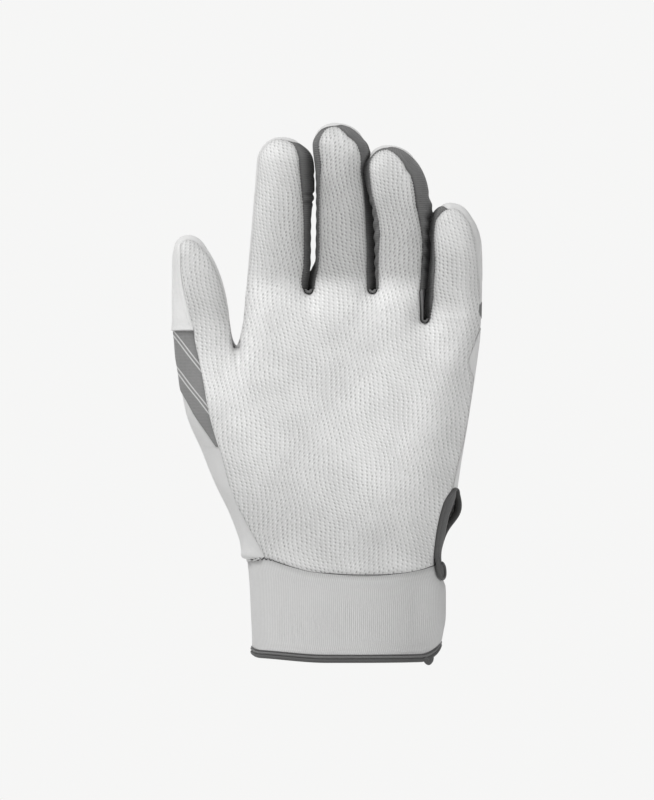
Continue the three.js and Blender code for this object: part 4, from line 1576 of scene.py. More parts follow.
        def along_run(values: Array, places: Array) -> Array:
            """Values at places along the path."""
            return np.stack([np.interp(places, run, values[:, k]) for k in range(3)], axis=1)

        middle = along_run(path, at)
        up = along_run(outward, at)
        along = along_run(path, at + near) - along_run(path, at - near)
        along /= np.linalg.norm(along, axis=1, keepdims=True)
        over = np.cross(up, along)
        over /= np.linalg.norm(over, axis=1, keepdims=True)
        points = (
            middle[:, None]
            + ball[None, :, 2:] * length * along[:, None]
            + ball[None, :, :1] * width * over[:, None]
            + ball[None, :, 1:2] * width * np.cross(along, over)[:, None]
        )
        mesh = bpy.data.meshes.new(name)
        copies = [tuple(k * count + v for v in face) for k in range(len(at)) for face in faces]
        mesh.from_pydata((points.reshape(-1, 3) * MM).tolist(), [], copies)
        pattern = np.tile(ball[:, [0, 2, 1]], (len(at), 1))
        mesh.attributes.new("pattern", "FLOAT_VECTOR", "POINT").data.foreach_set("vector", pattern.ravel())
        old = piece.data
        piece.data = mesh
        bpy.data.meshes.remove(old)
        self.hang(piece, finish, bend, body, ())
        return piece


def distance_to(x: Array, z: Array, path: Array) -> Array:
    """Distance of points from a path in the outline's plane.

    Args:
        x: Places across, of any shape.
        z: Heights, of the same shape.
        path: Points of the path.

    Returns:
        Distances, of the same shape.
    """
    best = np.full(x.shape, np.inf)
    for start, end in zip(path[:-1], path[1:]):
        run = end - start
        square = max(float(run @ run), 1e-9)
        along = np.clip(((x - start[0]) * run[0] + (z - start[1]) * run[1]) / square, 0.0, 1.0)
        best = np.minimum(best, np.hypot(x - start[0] - along * run[0], z - start[1] - along * run[1]))
    return best


def rolled_rim(distance: Array, dip: float = 0.3, puff: float = 0.16) -> Array:
    """Lift of a panel beside its seam: pressed down at the edge, with a soft roll beside it.

    Args:
        distance: Distance from the seam.
        dip: How far the edge is pressed down.
        puff: Height of the roll.

    Returns:
        The lift.
    """
    roll_place = 1.7
    roll_width = 1.1
    dip_width = 0.6
    return puff * hump(distance, roll_place, roll_width) - dip * np.exp(-((distance / dip_width) ** 2))


def seam_shade(distance: Array) -> Array:
    """Seam mask that fades away from the seam."""
    fading = 0.55
    return np.exp(-distance / fading)


def travel(path: Array) -> Array:
    """Share of a path's way at each point, in which a climb counts for more than a step across.

    Args:
        path: Points of the path.

    Returns:
        Shares from 0 to 1.
    """
    climb_weight = 2.2
    step = np.abs(np.diff(path, axis=0)) @ np.array([1.0, climb_weight])
    return np.concatenate([[0.0], np.cumsum(step)]) / step.sum()


def coons(bottom: Array, top: Array, left: Array, right: Array) -> Array:
    """Grid of points between four boundary lines.

    Args:
        bottom: Points of the lower line.
        top: Points of the upper line, as many as the lower line has.
        left: Points of the left line.
        right: Points of the right line, as many as the left line has.

    Returns:
        Points by row and column.
    """
    u = travel(top)[None, :, None]
    v = np.linspace(0.0, 1.0, len(left))[:, None, None]
    ruled = lerp(bottom[None], top[None], v) + lerp(left[:, None], right[:, None], u)
    corners = lerp(lerp(bottom[0], bottom[-1], u), lerp(top[0], top[-1], u), v)
    grid = ruled - corners
    rows, columns = np.indices(grid.shape[:2])
    # The inside of the grid is evened out, and its edges stay where they are.
    from_end = np.minimum(rows, len(left) - 1 - rows)
    from_side = np.minimum(columns, len(top) - 1 - columns)
    evening = 0.5
    share = evening * smoothstep(from_end, 1.0, 4.0) * smoothstep(from_side, 10.0, 20.0)
    for _ in range(EVENING_ROUNDS):
        around = grid[:-2, 1:-1] + grid[2:, 1:-1] + grid[1:-1, :-2] + grid[1:-1, 2:]
        grid[1:-1, 1:-1] = lerp(grid[1:-1, 1:-1], around / 4.0, share[1:-1, 1:-1, None])
    return grid


def smooth_path(points: Sequence[tuple], steps: int) -> Array:
    """Smooth path through a few points.

    Args:
        points: The points, in two or three dimensions.
        steps: Number of steps.

    Returns:
        Points of the path.
    """
    marks = np.array(points, float)
    chord = run_along(marks)
    at = np.linspace(0.0, chord[-1], steps + 1)
    return np.stack([HeightCurve(tuple(zip(chord, marks[:, k])))(at) for k in range(marks.shape[1])], axis=1)


# Sub-assemblies.
@dataclass(frozen=True)
class Bulge:
    """Swelling of a side wall towards the next finger.

    Attributes:
        left: Whether it is on the left wall.
        turn: Turn around the edge at its crest, in degrees.
        height: Its height over the finger's length.
    """

    left: bool
    turn: float
    height: HeightCurve

    SPREAD = 0.24

    def at(self, turn: Array, z: Array, left: Array) -> Array:
        """Lift at turns and heights, on the bulge's own side."""
        lift = self.height(z) * hump(turn, math.radians(self.turn), self.SPREAD)
        return np.where(left == self.left, lift, 0.0)


@dataclass(frozen=True)
class FingerPieces:
    """Leather front and back, stretch wall and knuckle gusset of one finger.

    Attributes:
        stall: The finger's form.
        form: The glove's form.
        leather: Thickness of the leather.
        stretch: Thickness of the stretch cloth.
        bend_length: Length over which the leather bends at the root.
        taper: Length over which a one-sided wall runs out at the tip.
        bulges: Where the walls swell.
        shade_tops: Heights up to which the fingers on the left and right shade the walls.
        shade_starts: Turns at which the shade on the left and right wall starts.
        hollows: Strength of the painted shade on the front leather's left and right side.
        ripple: Height of the small waves along the walls.
        tip_wrap: How far the back leather comes over the tip.
        rims: Strength of the shade along the rims of the left and right wall.
        lean: How far the left edge leans towards the palm side, over the finger's length.
        tip_swell: How far the wall and the back leather stand out over the tip.
    """

    stall: Stall
    form: GloveForm
    leather: float = 1.2
    stretch: float = 1.0
    bend_length: float = 18.0
    taper: float = 4.0
    bulges: tuple = ()
    shade_tops: tuple = (0.0, 0.0)
    shade_starts: tuple = (-0.62, -0.62)
    hollows: tuple = (0.0, 0.0)
    ripple: float = 0.1
    tip_wrap: float = 0.5
    rims: tuple = (1.0, 1.0)
    lean: Optional[HeightCurve] = None
    tip_swell: float = 0.8

    FRONT_SPACING = 0.32
    BACK_SPACING = 0.8
    ROWS = 15
    WALL_ROWS = 15
    WALL_SINK = 0.4
    STRIP_TURN = 0.5
    ROW_CROWDING = 1.6
    WALL_SPACING = 0.5
    STRIP_ROWS = 30
    STRIP_COLUMNS = 13
    GUSSET_ROWS = 49
    GUSSET_COLUMNS = 16
    RIB_PITCH = 3.2
    RIB_HEIGHT = 0.55
    GUSSET_SINK = 0.4
    TOOTH_DEPTH = 0.2
    TOOTH_PITCH = 1.28
    TOOTH_FADING = 0.35

    @property
    def bend(self) -> Bend:
        """Where the finger bends from the hand."""
        cut = self.stall.cut
        return Bend(self.stall.name, (0.0, 0.0, cut * MM), (0.0, 0.0, (cut + self.bend_length) * MM))

    def back_turn(self, z: Array, left: Array, reach: Array) -> Array:
        """Turn at which the back leather starts.

        Args:
            z: Heights.
            left: True on the left edge.
            reach: Distance from the edge to the spine.

        Returns:
            Turns in radians. A negative turn is on the palm side.
        """
        stall = self.stall
        front = -turn_for(stall.seam(z, left), reach)
        closing = np.zeros_like(z)
        if stall.bare is not Bare.NONE:
            closing = smoothstep(z, stall.tip - self.taper, stall.tip)
        tip_reveal = 0.06
        reveal = lerp(self.form.back_reveal, tip_reveal, smoothstep(z, stall.tip - 20.0, stall.tip - 10.0))
        turn = turn_for(reveal, reach)
        if stall.bare is Bare.NONE:
            over_tip = np.maximum(-turn_for(self.tip_wrap, reach), front + tip_reveal)
            turn = lerp(turn, over_tip, smoothstep(z, stall.tip - 9.0, stall.tip - 3.0))
        return np.where(stall.walled(left), lerp(turn, front, closing), front)

    def leaning(self, turn: Array, z: Array, left: Array) -> Optional[Array]:
        """How far spots lie towards the palm side because the left edge leans.

        Args:
            turn: Turns around the edge.
            z: Heights.
            left: True on the left edge.

        Returns:
            Distances, or None where nothing leans.
        """
        if self.lean is None:
            return None
        return self.lean(z) * np.where(left, smoothstep(np.cos(turn), 0.25, 0.95), 0.0)

    def swell(self, beyond: Array, turn: Array, z: Array) -> Array:
        """Lift over the tip, at turns and at turns beyond the front leather's seam.

        Args:
            beyond: Turns from the front leather's seam.
            turn: Turns around the edge.
            z: Heights.

        Returns:
            The lift.
        """
        tip = self.stall.tip
        around = smoothstep(beyond, 0.0, 0.35) * (1.0 - smoothstep(turn, 0.3, 0.9))
        return self.tip_swell * around * smoothstep(z, tip - 6.0, tip - 0.5)

    def base_row(self, side: Side) -> Array:
        """Places across of a face's lower edge, from its left seam to its right seam.

        Args:
            side: The face.

        Returns:
            The places.
        """
        stall = self.stall
        z = np.full(2, stall.cut)
        x = np.array([stall.left_of(stall.cut), stall.right_of(stall.cut)])
        left = np.array([True, False])
        middle = x.mean()
        reach = np.abs(middle - x)
        start = turn_for(stall.seam(z, left), reach)
        if side is Side.BACK:
            start = np.maximum(self.back_turn(z, left, reach), 0.03)
        share = np.linspace(0.0, 1.0, self.ROWS) ** self.ROW_CROWDING
        left_x = lerp(x[0], middle, 1.0 - np.cos(lerp(start[0], math.pi / 2.0, share)))
        right_x = lerp(x[1], middle, 1.0 - np.cos(lerp(start[1], math.pi / 2.0, share)))
        return np.concatenate([left_x, right_x[::-1][1:]])

    def panel(self, side: Side, foot: float, spacing: float) -> tuple:
        """Spots and seam mask of the front or the back leather.

        Args:
            side: The face.
            foot: Height of the lower edge.
            spacing: Step along the edge.

        Returns:
            The grid of spots and its seam mask.
        """
        stall = self.stall
        x, z, left = stall.edge_path(foot, spacing)
        inner_x, inner_z = stall.spine(z)
        reach = np.hypot(inner_x - x, inner_z - z)
        seam = stall.seam(z, left)
        walled = stall.walled(left)
        start = turn_for(seam, reach) if side is Side.PALM else self.back_turn(z, left, reach)
        share = np.linspace(0.0, 1.0, self.ROWS)[:, None] ** self.ROW_CROWDING
        turn = lerp(start[None], math.pi / 2.0, share)
        distance = np.abs(np.cos(start)[None] - np.cos(turn)) * reach[None]
        if side is Side.PALM:
            length = run_along(np.stack([x, z], axis=1))
            tooth = self.TOOTH_DEPTH * np.sin(length * 2.0 * math.pi / self.TOOTH_PITCH)
            teeth = np.where(walled, tooth, 0.0)
            # The edge of the leather is pulled in between the stitches.
            tooth_turn = turn_for(np.maximum(seam + teeth, 0.0), reach) - start
            turn = turn + tooth_turn[None] * np.exp(-distance / self.TOOTH_FADING)
        spots = around_edge(x[None], z[None], inner_x[None], inner_z[None], turn, side)
        sewn = np.where(walled, 1.0, smoothstep(z, stall.cut, stall.cut + 20.0))
        mask = seam_shade(distance) * sewn[None]
        spots.lift = rolled_rim(distance) * sewn[None]
        if side is Side.PALM:
            spots.lift = spots.lift + PalmRelief.at(spots.x, spots.z)
            # Painted shade on the front leather, added to the seam mask.
            mask = mask + self.painted_front_shade(turn, z[None], left[None])
        else:
            spots.lift = spots.lift + self.swell(turn + turn_for(seam, reach)[None], turn, z[None])
        spots.forward = self.leaning(turn, z[None], left[None])
        spread = lerp(np.cos(turn), math.pi / 2.0 - turn, smoothstep(z, stall.cut, stall.cut + 24.0)[None])
        spots.pattern = np.stack(
            [inner_x + (x - inner_x) * spread, inner_z + (z - inner_z) * spread], axis=2
        )
        return spots, mask

    def painted_front_shade(self, turn: Array, z: Array, left: Array) -> Array:
        """Painted shade on the front leather, darker where it lies lower than the palm and beside the other
        fingers.

        Args:
            turn: Turns around the edge.
            z: Heights.
            left: True on the left edge.

        Returns:
            What is added to the seam mask.
        """
        stall = self.stall
        to_left = 0.5 + 0.5 * np.cos(turn) * np.where(left, 1.0, -1.0)
        near_tip = smoothstep(z, stall.tip - 28.0, stall.tip - 8.0)
        along = smoothstep(z, stall.cut, stall.cut + 8.0) * lerp(1.0, 0.4, near_tip)
        return lerp(self.hollows[1], self.hollows[0], to_left) * along

    def build(self, tailor: Tailor) -> None:
        """Makes the finger's pieces.

        Args:
            tailor: Makes the pieces.
        """
        name = self.stall.name
        front, seam = self.panel(Side.PALM, self.stall.cut, self.FRONT_SPACING)
        tailor.cloth(f"{name}_front_leather", [front], [seam], self.leather, "palm_leather",
                     bend=self.bend, nodes=[f"{name}_front"])
        back, seam = self.panel(Side.BACK, self.stall.cut + self.form.gusset_length, self.BACK_SPACING)
        tailor.cloth(f"{name}_back_leather", [back], [seam], self.leather, "back_leather",
                     bend=self.bend, nodes=[f"{name}_back"])
        self.wall(tailor)
        self.gusset(tailor)
        if self.stall.bare is not Bare.NONE:
            self.strip(tailor)

    def wall(self, tailor: Tailor) -> None:
        """Makes the dark stretch wall along the finger's sides.

        Args:
            tailor: Makes the pieces.
        """
        stall = self.stall
        x, z, left = stall.edge_path(stall.cut, self.WALL_SPACING)
        keep = stall.walled(left)
        if stall.bare is not Bare.NONE:
            keep = keep & (z < stall.tip - 0.3)
        x = x[keep]
        z = z[keep]
        left = left[keep]
        inner_x, inner_z = stall.spine(z)
        reach = np.hypot(inner_x - x, inner_z - z)
        front = -turn_for(stall.seam(z, left), reach)
        back = np.maximum(self.back_turn(z, left, reach), front + 0.02)
        share = np.linspace(0.0, 1.0, self.WALL_ROWS)[:, None]
        turn = lerp(front[None], back[None], share)
        spots = around_edge(x[None], z[None], inner_x[None], inner_z[None], turn, Side.BACK)
        swell = self.swell(turn - front[None], turn, z[None])
        spots.lift = self.wall_relief(turn, z[None], left[None]) + swell
        spots.forward = self.leaning(turn, z[None], left[None])
        tailor.lay_out(spots)
        spots.pattern[..., 0] = run_along(np.stack([x, z], axis=1))[None]
        edge = np.minimum(share, 1.0 - share) * (back - front)[None] * reach[None]
        shade_top = np.where(left, self.shade_tops[0], self.shade_tops[1])
        shade_start = np.where(left, self.shade_starts[0], self.shade_starts[1])[None]
        shaded = 1.0 - smoothstep(z - shade_top, -7.0, 0.0)
        # Painted shade on the deeper part of the wall, where the next finger stands beside it, up to
        # shade_top.
        depth = smoothstep(turn - shade_start, 0.0, 0.62) * shaded[None]
        rim = seam_shade(edge) * np.where(left, self.rims[0], self.rims[1])[None]
        tailor.cloth(
            f"{stall.name}_wall_cloth", [spots], [np.maximum(rim, depth)], self.stretch, "dark_stretch",
            outer=-self.WALL_SINK, bend=self.bend, nodes=[f"{stall.name}_side_wall"],
        )

    def wall_relief(self, turn: Array, z: Array, left: Array) -> Array:
        """Lift of the wall: creases across, and swelling towards the next finger.

        Args:
            turn: Turns around the edge.
            z: Heights.
            left: True on the left edge.

        Returns:
            The lift.
        """
        stall = self.stall
        rise = smoothstep(z, stall.cut, stall.cut + 10.0)
        fall = 1.0 - smoothstep(z, stall.tip - 26.0, stall.tip - 16.0)
        lift = self.ripple * np.sin(z * 1.2 + turn * 4.0) * rise * fall
        for bulge in self.bulges:
            lift = lift + bulge.at(turn, z, left)
        if stall.bare is Bare.LEFT:
            creases = hump(z, 195.0, 0.8) + 0.8 * hump(z, 198.4, 0.7) + 0.4 * hump(z, 206.0, 1.2)
            lift = lift - 0.8 * creases
        return lift

    def edge_share(self, z: Array, is_left: bool) -> Array:
        """Share of the way to STRIP_TURN up to which leather covers a bare edge beside the gusset.

        Args:
            z: Heights.
            is_left: Whether the edge is the left one.

        Returns:
            Shares from 0 to 1.
        """
        if self.stall.has_wall(is_left):
            return np.zeros_like(z)
        open_below = -9.0 if is_left else 6.5
        return smoothstep(z - self.stall.cut, open_below, open_below + 1.5)

    def strip(self, tailor: Tailor) -> None:
        """Makes the strip of back leather that runs down a bare edge beside the gusset.

        Args:
            tailor: Makes the pieces.
        """
        stall = self.stall
        is_left = stall.bare is Bare.LEFT
        start = 0.0 if is_left else 6.0
        z = np.linspace(stall.cut + start, stall.cut + self.form.gusset_length + 0.6, self.STRIP_ROWS)
        edge_x = (stall.left_of if is_left else stall.right_of)(z)
        middle = (stall.left_of(z) + stall.right_of(z)) / 2.0
        reach = np.abs(middle - edge_x)
        front = -turn_for(stall.seam(z, np.full(z.shape, is_left)), reach)
        pointed = 1.0 if is_left else smoothstep(z - z[0], -1.0, 3.5)
        reached = lerp(front, self.STRIP_TURN + 0.1, pointed)
        turn = lerp(front[:, None], reached[:, None], np.linspace(0.0, 1.0, self.STRIP_COLUMNS)[None])
        spots = around_edge(edge_x[:, None], z[:, None], middle[:, None], z[:, None], turn, Side.BACK)
        tailor.lay_out(spots)
        mask = seam_shade(np.minimum(turn - turn[:, :1], turn[:, -1:] - turn) * reach[:, None])
        tailor.cloth(f"{stall.name}_edge_leather", [spots], [mask], self.leather, "back_leather",
                     outer=-0.06, bend=self.bend)

    def gusset(self, tailor: Tailor) -> None:
        """Makes the ribbed stretch gusset over the knuckle.

        Args:
            tailor: Makes the pieces.
        """
        stall = self.stall
        z = np.linspace(stall.cut, stall.cut + self.form.gusset_length, self.GUSSET_ROWS)
        left_x = stall.left_of(z)
        right_x = stall.right_of(z)
        middle = (left_x + right_x) / 2.0
        reach = (right_x - left_x) / 2.0
        share = np.linspace(0.0, 1.0, self.GUSSET_COLUMNS)
        grids = []
        for edge_x, is_left in ((left_x, True), (right_x, False)):
            start = self.back_turn(z, np.full(z.shape, is_left), reach)
            start = lerp(start, self.STRIP_TURN, self.edge_share(z, is_left))
            turn = lerp(start[:, None], math.pi / 2.0, share[None])
            half = around_edge(edge_x[:, None], z[:, None], middle[:, None], z[:, None], turn, Side.BACK)
            grids.append(half)
        spots = joined([grids[0], grids[1].columns(BACKWARDS_FROM_SECOND)], 1)
        ends = np.minimum(z - z[0], z[-1] - z)[:, None]
        ribs = 0.5 - 0.5 * np.cos((z - z[0]) * 2.0 * math.pi / self.RIB_PITCH)
        inside = np.minimum(spots.x - left_x[:, None], right_x[:, None] - spots.x)
        spots.lift = self.RIB_HEIGHT * ribs[:, None] * smoothstep(ends, 0.0, 2.0) * smoothstep(
            inside, 0.5, 3.0
        )
        spots.lift = spots.lift - self.GUSSET_SINK * smoothstep(inside, 0.3, 2.0)
        tailor.lay_out(spots)
        seam = np.broadcast_to(seam_shade(ends), spots.x.shape)
        tailor.cloth(f"{stall.name}_gusset_cloth", [spots], [seam], self.stretch, "dark_stretch",
                     bend=self.bend, nodes=[f"{stall.name}_knuckle_gusset"])


class PalmRelief:
    """Soft hollows, folds and swellings of the palm leather, which shows wear."""

    @staticmethod
    def at(x: Array, z: Array) -> Array:
        """Lift of the leather at a place.

        Args:
            x: Places across.
            z: Heights.

        Returns:
            The lift in millimetres.
        """

        def spot(at_x: float, at_z: float, wide: float, high: float) -> Array:
            """Soft round swelling."""
            return hump(x, at_x, wide) * hump(z, at_z, high)

        swellings = 0.7 * spot(-6.0, 145.0, 7.0, 6.0) + 0.7 * spot(26.0, 128.0, 11.0, 9.0)
        swellings = swellings + 0.8 * spot(12.0, 113.0, 12.0, 10.0) + 0.5 * spot(21.0, 146.0, 7.0, 6.0)
        hollows = 0.9 * spot(-14.0, 149.0, 4.0, 6.0) + 0.9 * spot(7.0, 147.0, 5.0, 7.0)
        hollows = hollows + 0.9 * spot(35.0, 136.0, 5.0, 6.0)
        hollows = hollows + 0.6 * spot(12.0, 131.0, 8.0, 5.0) + 0.7 * spot(-18.0, 112.0, 12.0, 9.0)
        fold_x = -45.2 + 0.14 * (134.0 - z)
        fold = 1.9 * hump(x, fold_x - 1.0, 1.9) - 0.5 * hump(x, fold_x + 2.2, 2.2)
        fold = fold * smoothstep(z, 110.0, 126.0) * (1.0 - smoothstep(z, 131.0, 142.0))
        drift = 0.12 * np.sin(x * 0.21 + z * 0.13) * np.sin(z * 0.17 - x * 0.06)
        return swellings - hollows - fold + drift


@dataclass(frozen=True)
class ThumbPieces(FingerPieces):
    """Leather front and back of the thumb, with the stitched ridge between them.

    Attributes:
        bend_length: Length over which the leather bends at the root.
        ridge_width: Width of the ridge.
        ridge_height: Height of the ridge.
        root_fold: Height of the fold at the root of the back.
    """

    bend_length: float = 15.0
    ridge_width: float = 1.5
    ridge_height: float = 0.9
    root_fold: float = 0.8

    BACK_SPACING = 0.5
    RIDGE_STEPS = 120
    FOLD_FADING = 1.6
    FOLD_SHADE = 0.6

    def build(self, tailor: Tailor) -> None:
        """Makes the thumb's leather and its ridge.

        Args:
            tailor: Makes the pieces.
        """
        front, seam = self.panel(Side.PALM, self.stall.cut, self.FRONT_SPACING)
        tailor.cloth("thumb_front_leather", [front], [seam], self.leather, "palm_leather",
                     bend=self.bend, nodes=["thumb_front"])
        back, seam = self.panel(Side.BACK, self.stall.cut, self.BACK_SPACING)
        fading = np.exp(-(back.z - self.stall.cut) / self.FOLD_FADING)
        raised = fading * (1.0 - smoothstep(back.x, -62.0, -57.0))
        back.lift = back.lift + self.root_fold * raised
        tailor.cloth(
            "thumb_back_leather", [back], [np.maximum(seam, self.FOLD_SHADE * raised)], self.leather,
            "back_leather", bend=self.bend, nodes=["thumb_back"],
        )
        self.ridge(tailor)

    def ridge(self, tailor: Tailor) -> None:
        """Makes the raised ridge and its stitches along the left seam.

        Args:
            tailor: Makes the pieces.
        """
        stall = self.stall
        outside = 0.4
        beside = 1.5
        raised = 0.05
        z = np.linspace(stall.cut + 0.5, stall.tip - 3.0, self.RIDGE_STEPS)
        x = stall.left_of(z) + stall.left_seam(z) - outside
        path, outward, across = tailor.frame_along(spots_on(x[None], z[None], Side.PALM), raised)
        profile = oval(self.ridge_width / 2.0, self.ridge_height / 2.0, 12)
        tailor.tape("thumb_ridge", path, across, outward, profile, "back_leather", bend=self.bend)
        tailor.stitches(
            "thumb_ridge_stitches", path - across * beside - outward * raised, outward, "light_thread",
            pitch=2.0, length=1.4, width=0.34, bend=self.bend,
        )


@dataclass(frozen=True)
class Web:
    """The dark fork at the bottom of the gap between two fingers.

    Attributes:
        form: The glove's form.
        number: Number of the finger on its left.
        stretch: Thickness of the cloth.
    """

    form: GloveForm
    number: int
    stretch: float = 1.0

    def path(self, side: Side) -> tuple:
        """Line of the fork along the outline, and how far in it reaches on one face.

        Args:
            side: The face.

        Returns:
            Points on the outline, ways in, and widths.
        """
        form = self.form
        left = form.fingers[self.number]
        right = form.fingers[self.number + 1]
        web_x, web_z = form.web_place(self.number)
        half = form.gap / 2.0
        step = 1.0
        left_z = np.linspace(left.cut, web_z, max(int((left.cut - web_z) / step), 2) + 1)[:-1]
        right_z = np.linspace(web_z, right.cut, max(int((right.cut - web_z) / step), 2) + 1)[1:]
        turns = np.radians(np.linspace(195.0, 345.0, 13))
        floor_in = np.stack([np.cos(turns), np.sin(turns)], axis=1)
        floor = np.array([web_x, web_z]) + half * floor_in
        points = np.concatenate([
            np.stack([left.right_of(left_z), left_z], axis=1),
            floor,
            np.stack([right.left_of(right_z), right_z], axis=1),
        ])
        ways = np.concatenate([
            np.tile([-1.0, 0.0], (len(left_z), 1)), floor_in, np.tile([1.0, 0.0], (len(right_z), 1)),
        ])
        if side is Side.BACK:
            return points, ways, np.full(len(points), form.back_reveal)
        down = smoothstep(left.cut - left_z, 0.0, left.cut - web_z)
        up = smoothstep(right_z - web_z, 0.0, right.cut - web_z)
        left_width = lerp(left.right_seam(left_z), form.web_reveal, down)
        right_width = lerp(form.web_reveal, right.left_seam(right_z), up)
        return points, ways, np.concatenate([left_width, np.full(len(floor), form.web_reveal), right_width])

    def rim(self, side: Side) -> Array:
        """Line along which the fork meets the hand's leather on one face."""
        points, ways, widths = self.path(side)
        return points + ways * widths[:, None]

    def build(self, tailor: Tailor) -> None:
        """Makes the fork.

        Args:
            tailor: Makes the pieces.
        """
        front_points, ways, front_width = self.path(Side.PALM)
        _, _, back_width = self.path(Side.BACK)
        share = np.array([1.0, 0.82, 0.64, 0.46, 0.3, 0.16, 0.06, 0.0])
        sunk = 0.4
        rows = []
        for side, width, shares in (
            (Side.PALM, front_width, share), (Side.BACK, back_width, share[::-1][1:])
        ):
            inside = front_points[None] + ways[None] * width[None, :, None] * shares[:, None, None]
            rows.append(spots_on(inside[..., 0], inside[..., 1], side))
        spots = joined(rows, 0)
        tailor.lay_out(spots)
        names = [finger.name for finger in self.form.fingers]
        node = f"{names[self.number]}_{names[self.number + 1]}_fork"
        inward = smoothstep(1.0 - share, 0.55, 1.0)
        shade = np.concatenate([inward, np.ones(len(share) - 1)])[:, None] * np.ones(spots.x.shape)
        tailor.cloth(f"{node}_cloth", [spots], [shade], self.stretch, "dark_stretch",
                     outer=-sunk, nodes=[node])
        self.tongue(tailor, node)
        self.edging(tailor, node)

    def tongue(self, tailor: Tailor, node: str) -> None:
        """Makes the dark fold of cloth that closes the bottom of the gap.

        Args:
            tailor: Makes the pieces.
            node: Name of the fork.
        """
        web_x, web_z = self.form.web_place(self.number)
        above_root = 5.0
        below_web = 1.7
        steps = 25
        depth = 2.5
        pair = self.form.fingers[self.number:self.number + 2]
        top = max(finger.cut for finger in pair) + above_root
        line = self.form.lines[self.number + 1]
        z = np.linspace(web_z - below_web, top, steps)
        path = np.stack([line(z) + web_x - float(line(web_z)), np.full(steps, depth), z], axis=1)
        across = np.tile([1.0, 0.0, 0.0], (steps, 1))
        outward = np.tile([0.0, -1.0, 0.0], (steps, 1))
        tailor.tape(f"{node}_tongue", path, across, outward, oval(1.3, 0.8, 12), "dark_stretch")

    def edging(self, tailor: Tailor, node: str) -> None:
        """Makes the turned edge of the cloth, which stands up beside the leather in the gap.

        Args:
            tailor: Makes the pieces.
            node: Name of the fork.
        """
        half_width = 0.6
        half_height = 1.4
        raised = 0.9
        line, ways, widths = self.path(Side.PALM)
        inside = line + ways * np.maximum(widths - half_width, 0.0)[:, None]
        path = tailor.skin.place(spots_on(inside[:, 0], inside[:, 1], Side.PALM), 0.0)
        path[:, 1] -= raised
        profile = oval(half_width, half_height, 12)
        across = np.stack([ways[:, 0], np.zeros(len(ways)), ways[:, 1]], axis=1)
        outward = np.tile([0.0, -1.0, 0.0], (len(ways), 1))
        tailor.tape(f"{node}_edging", path, across, outward, profile, "dark_stretch")


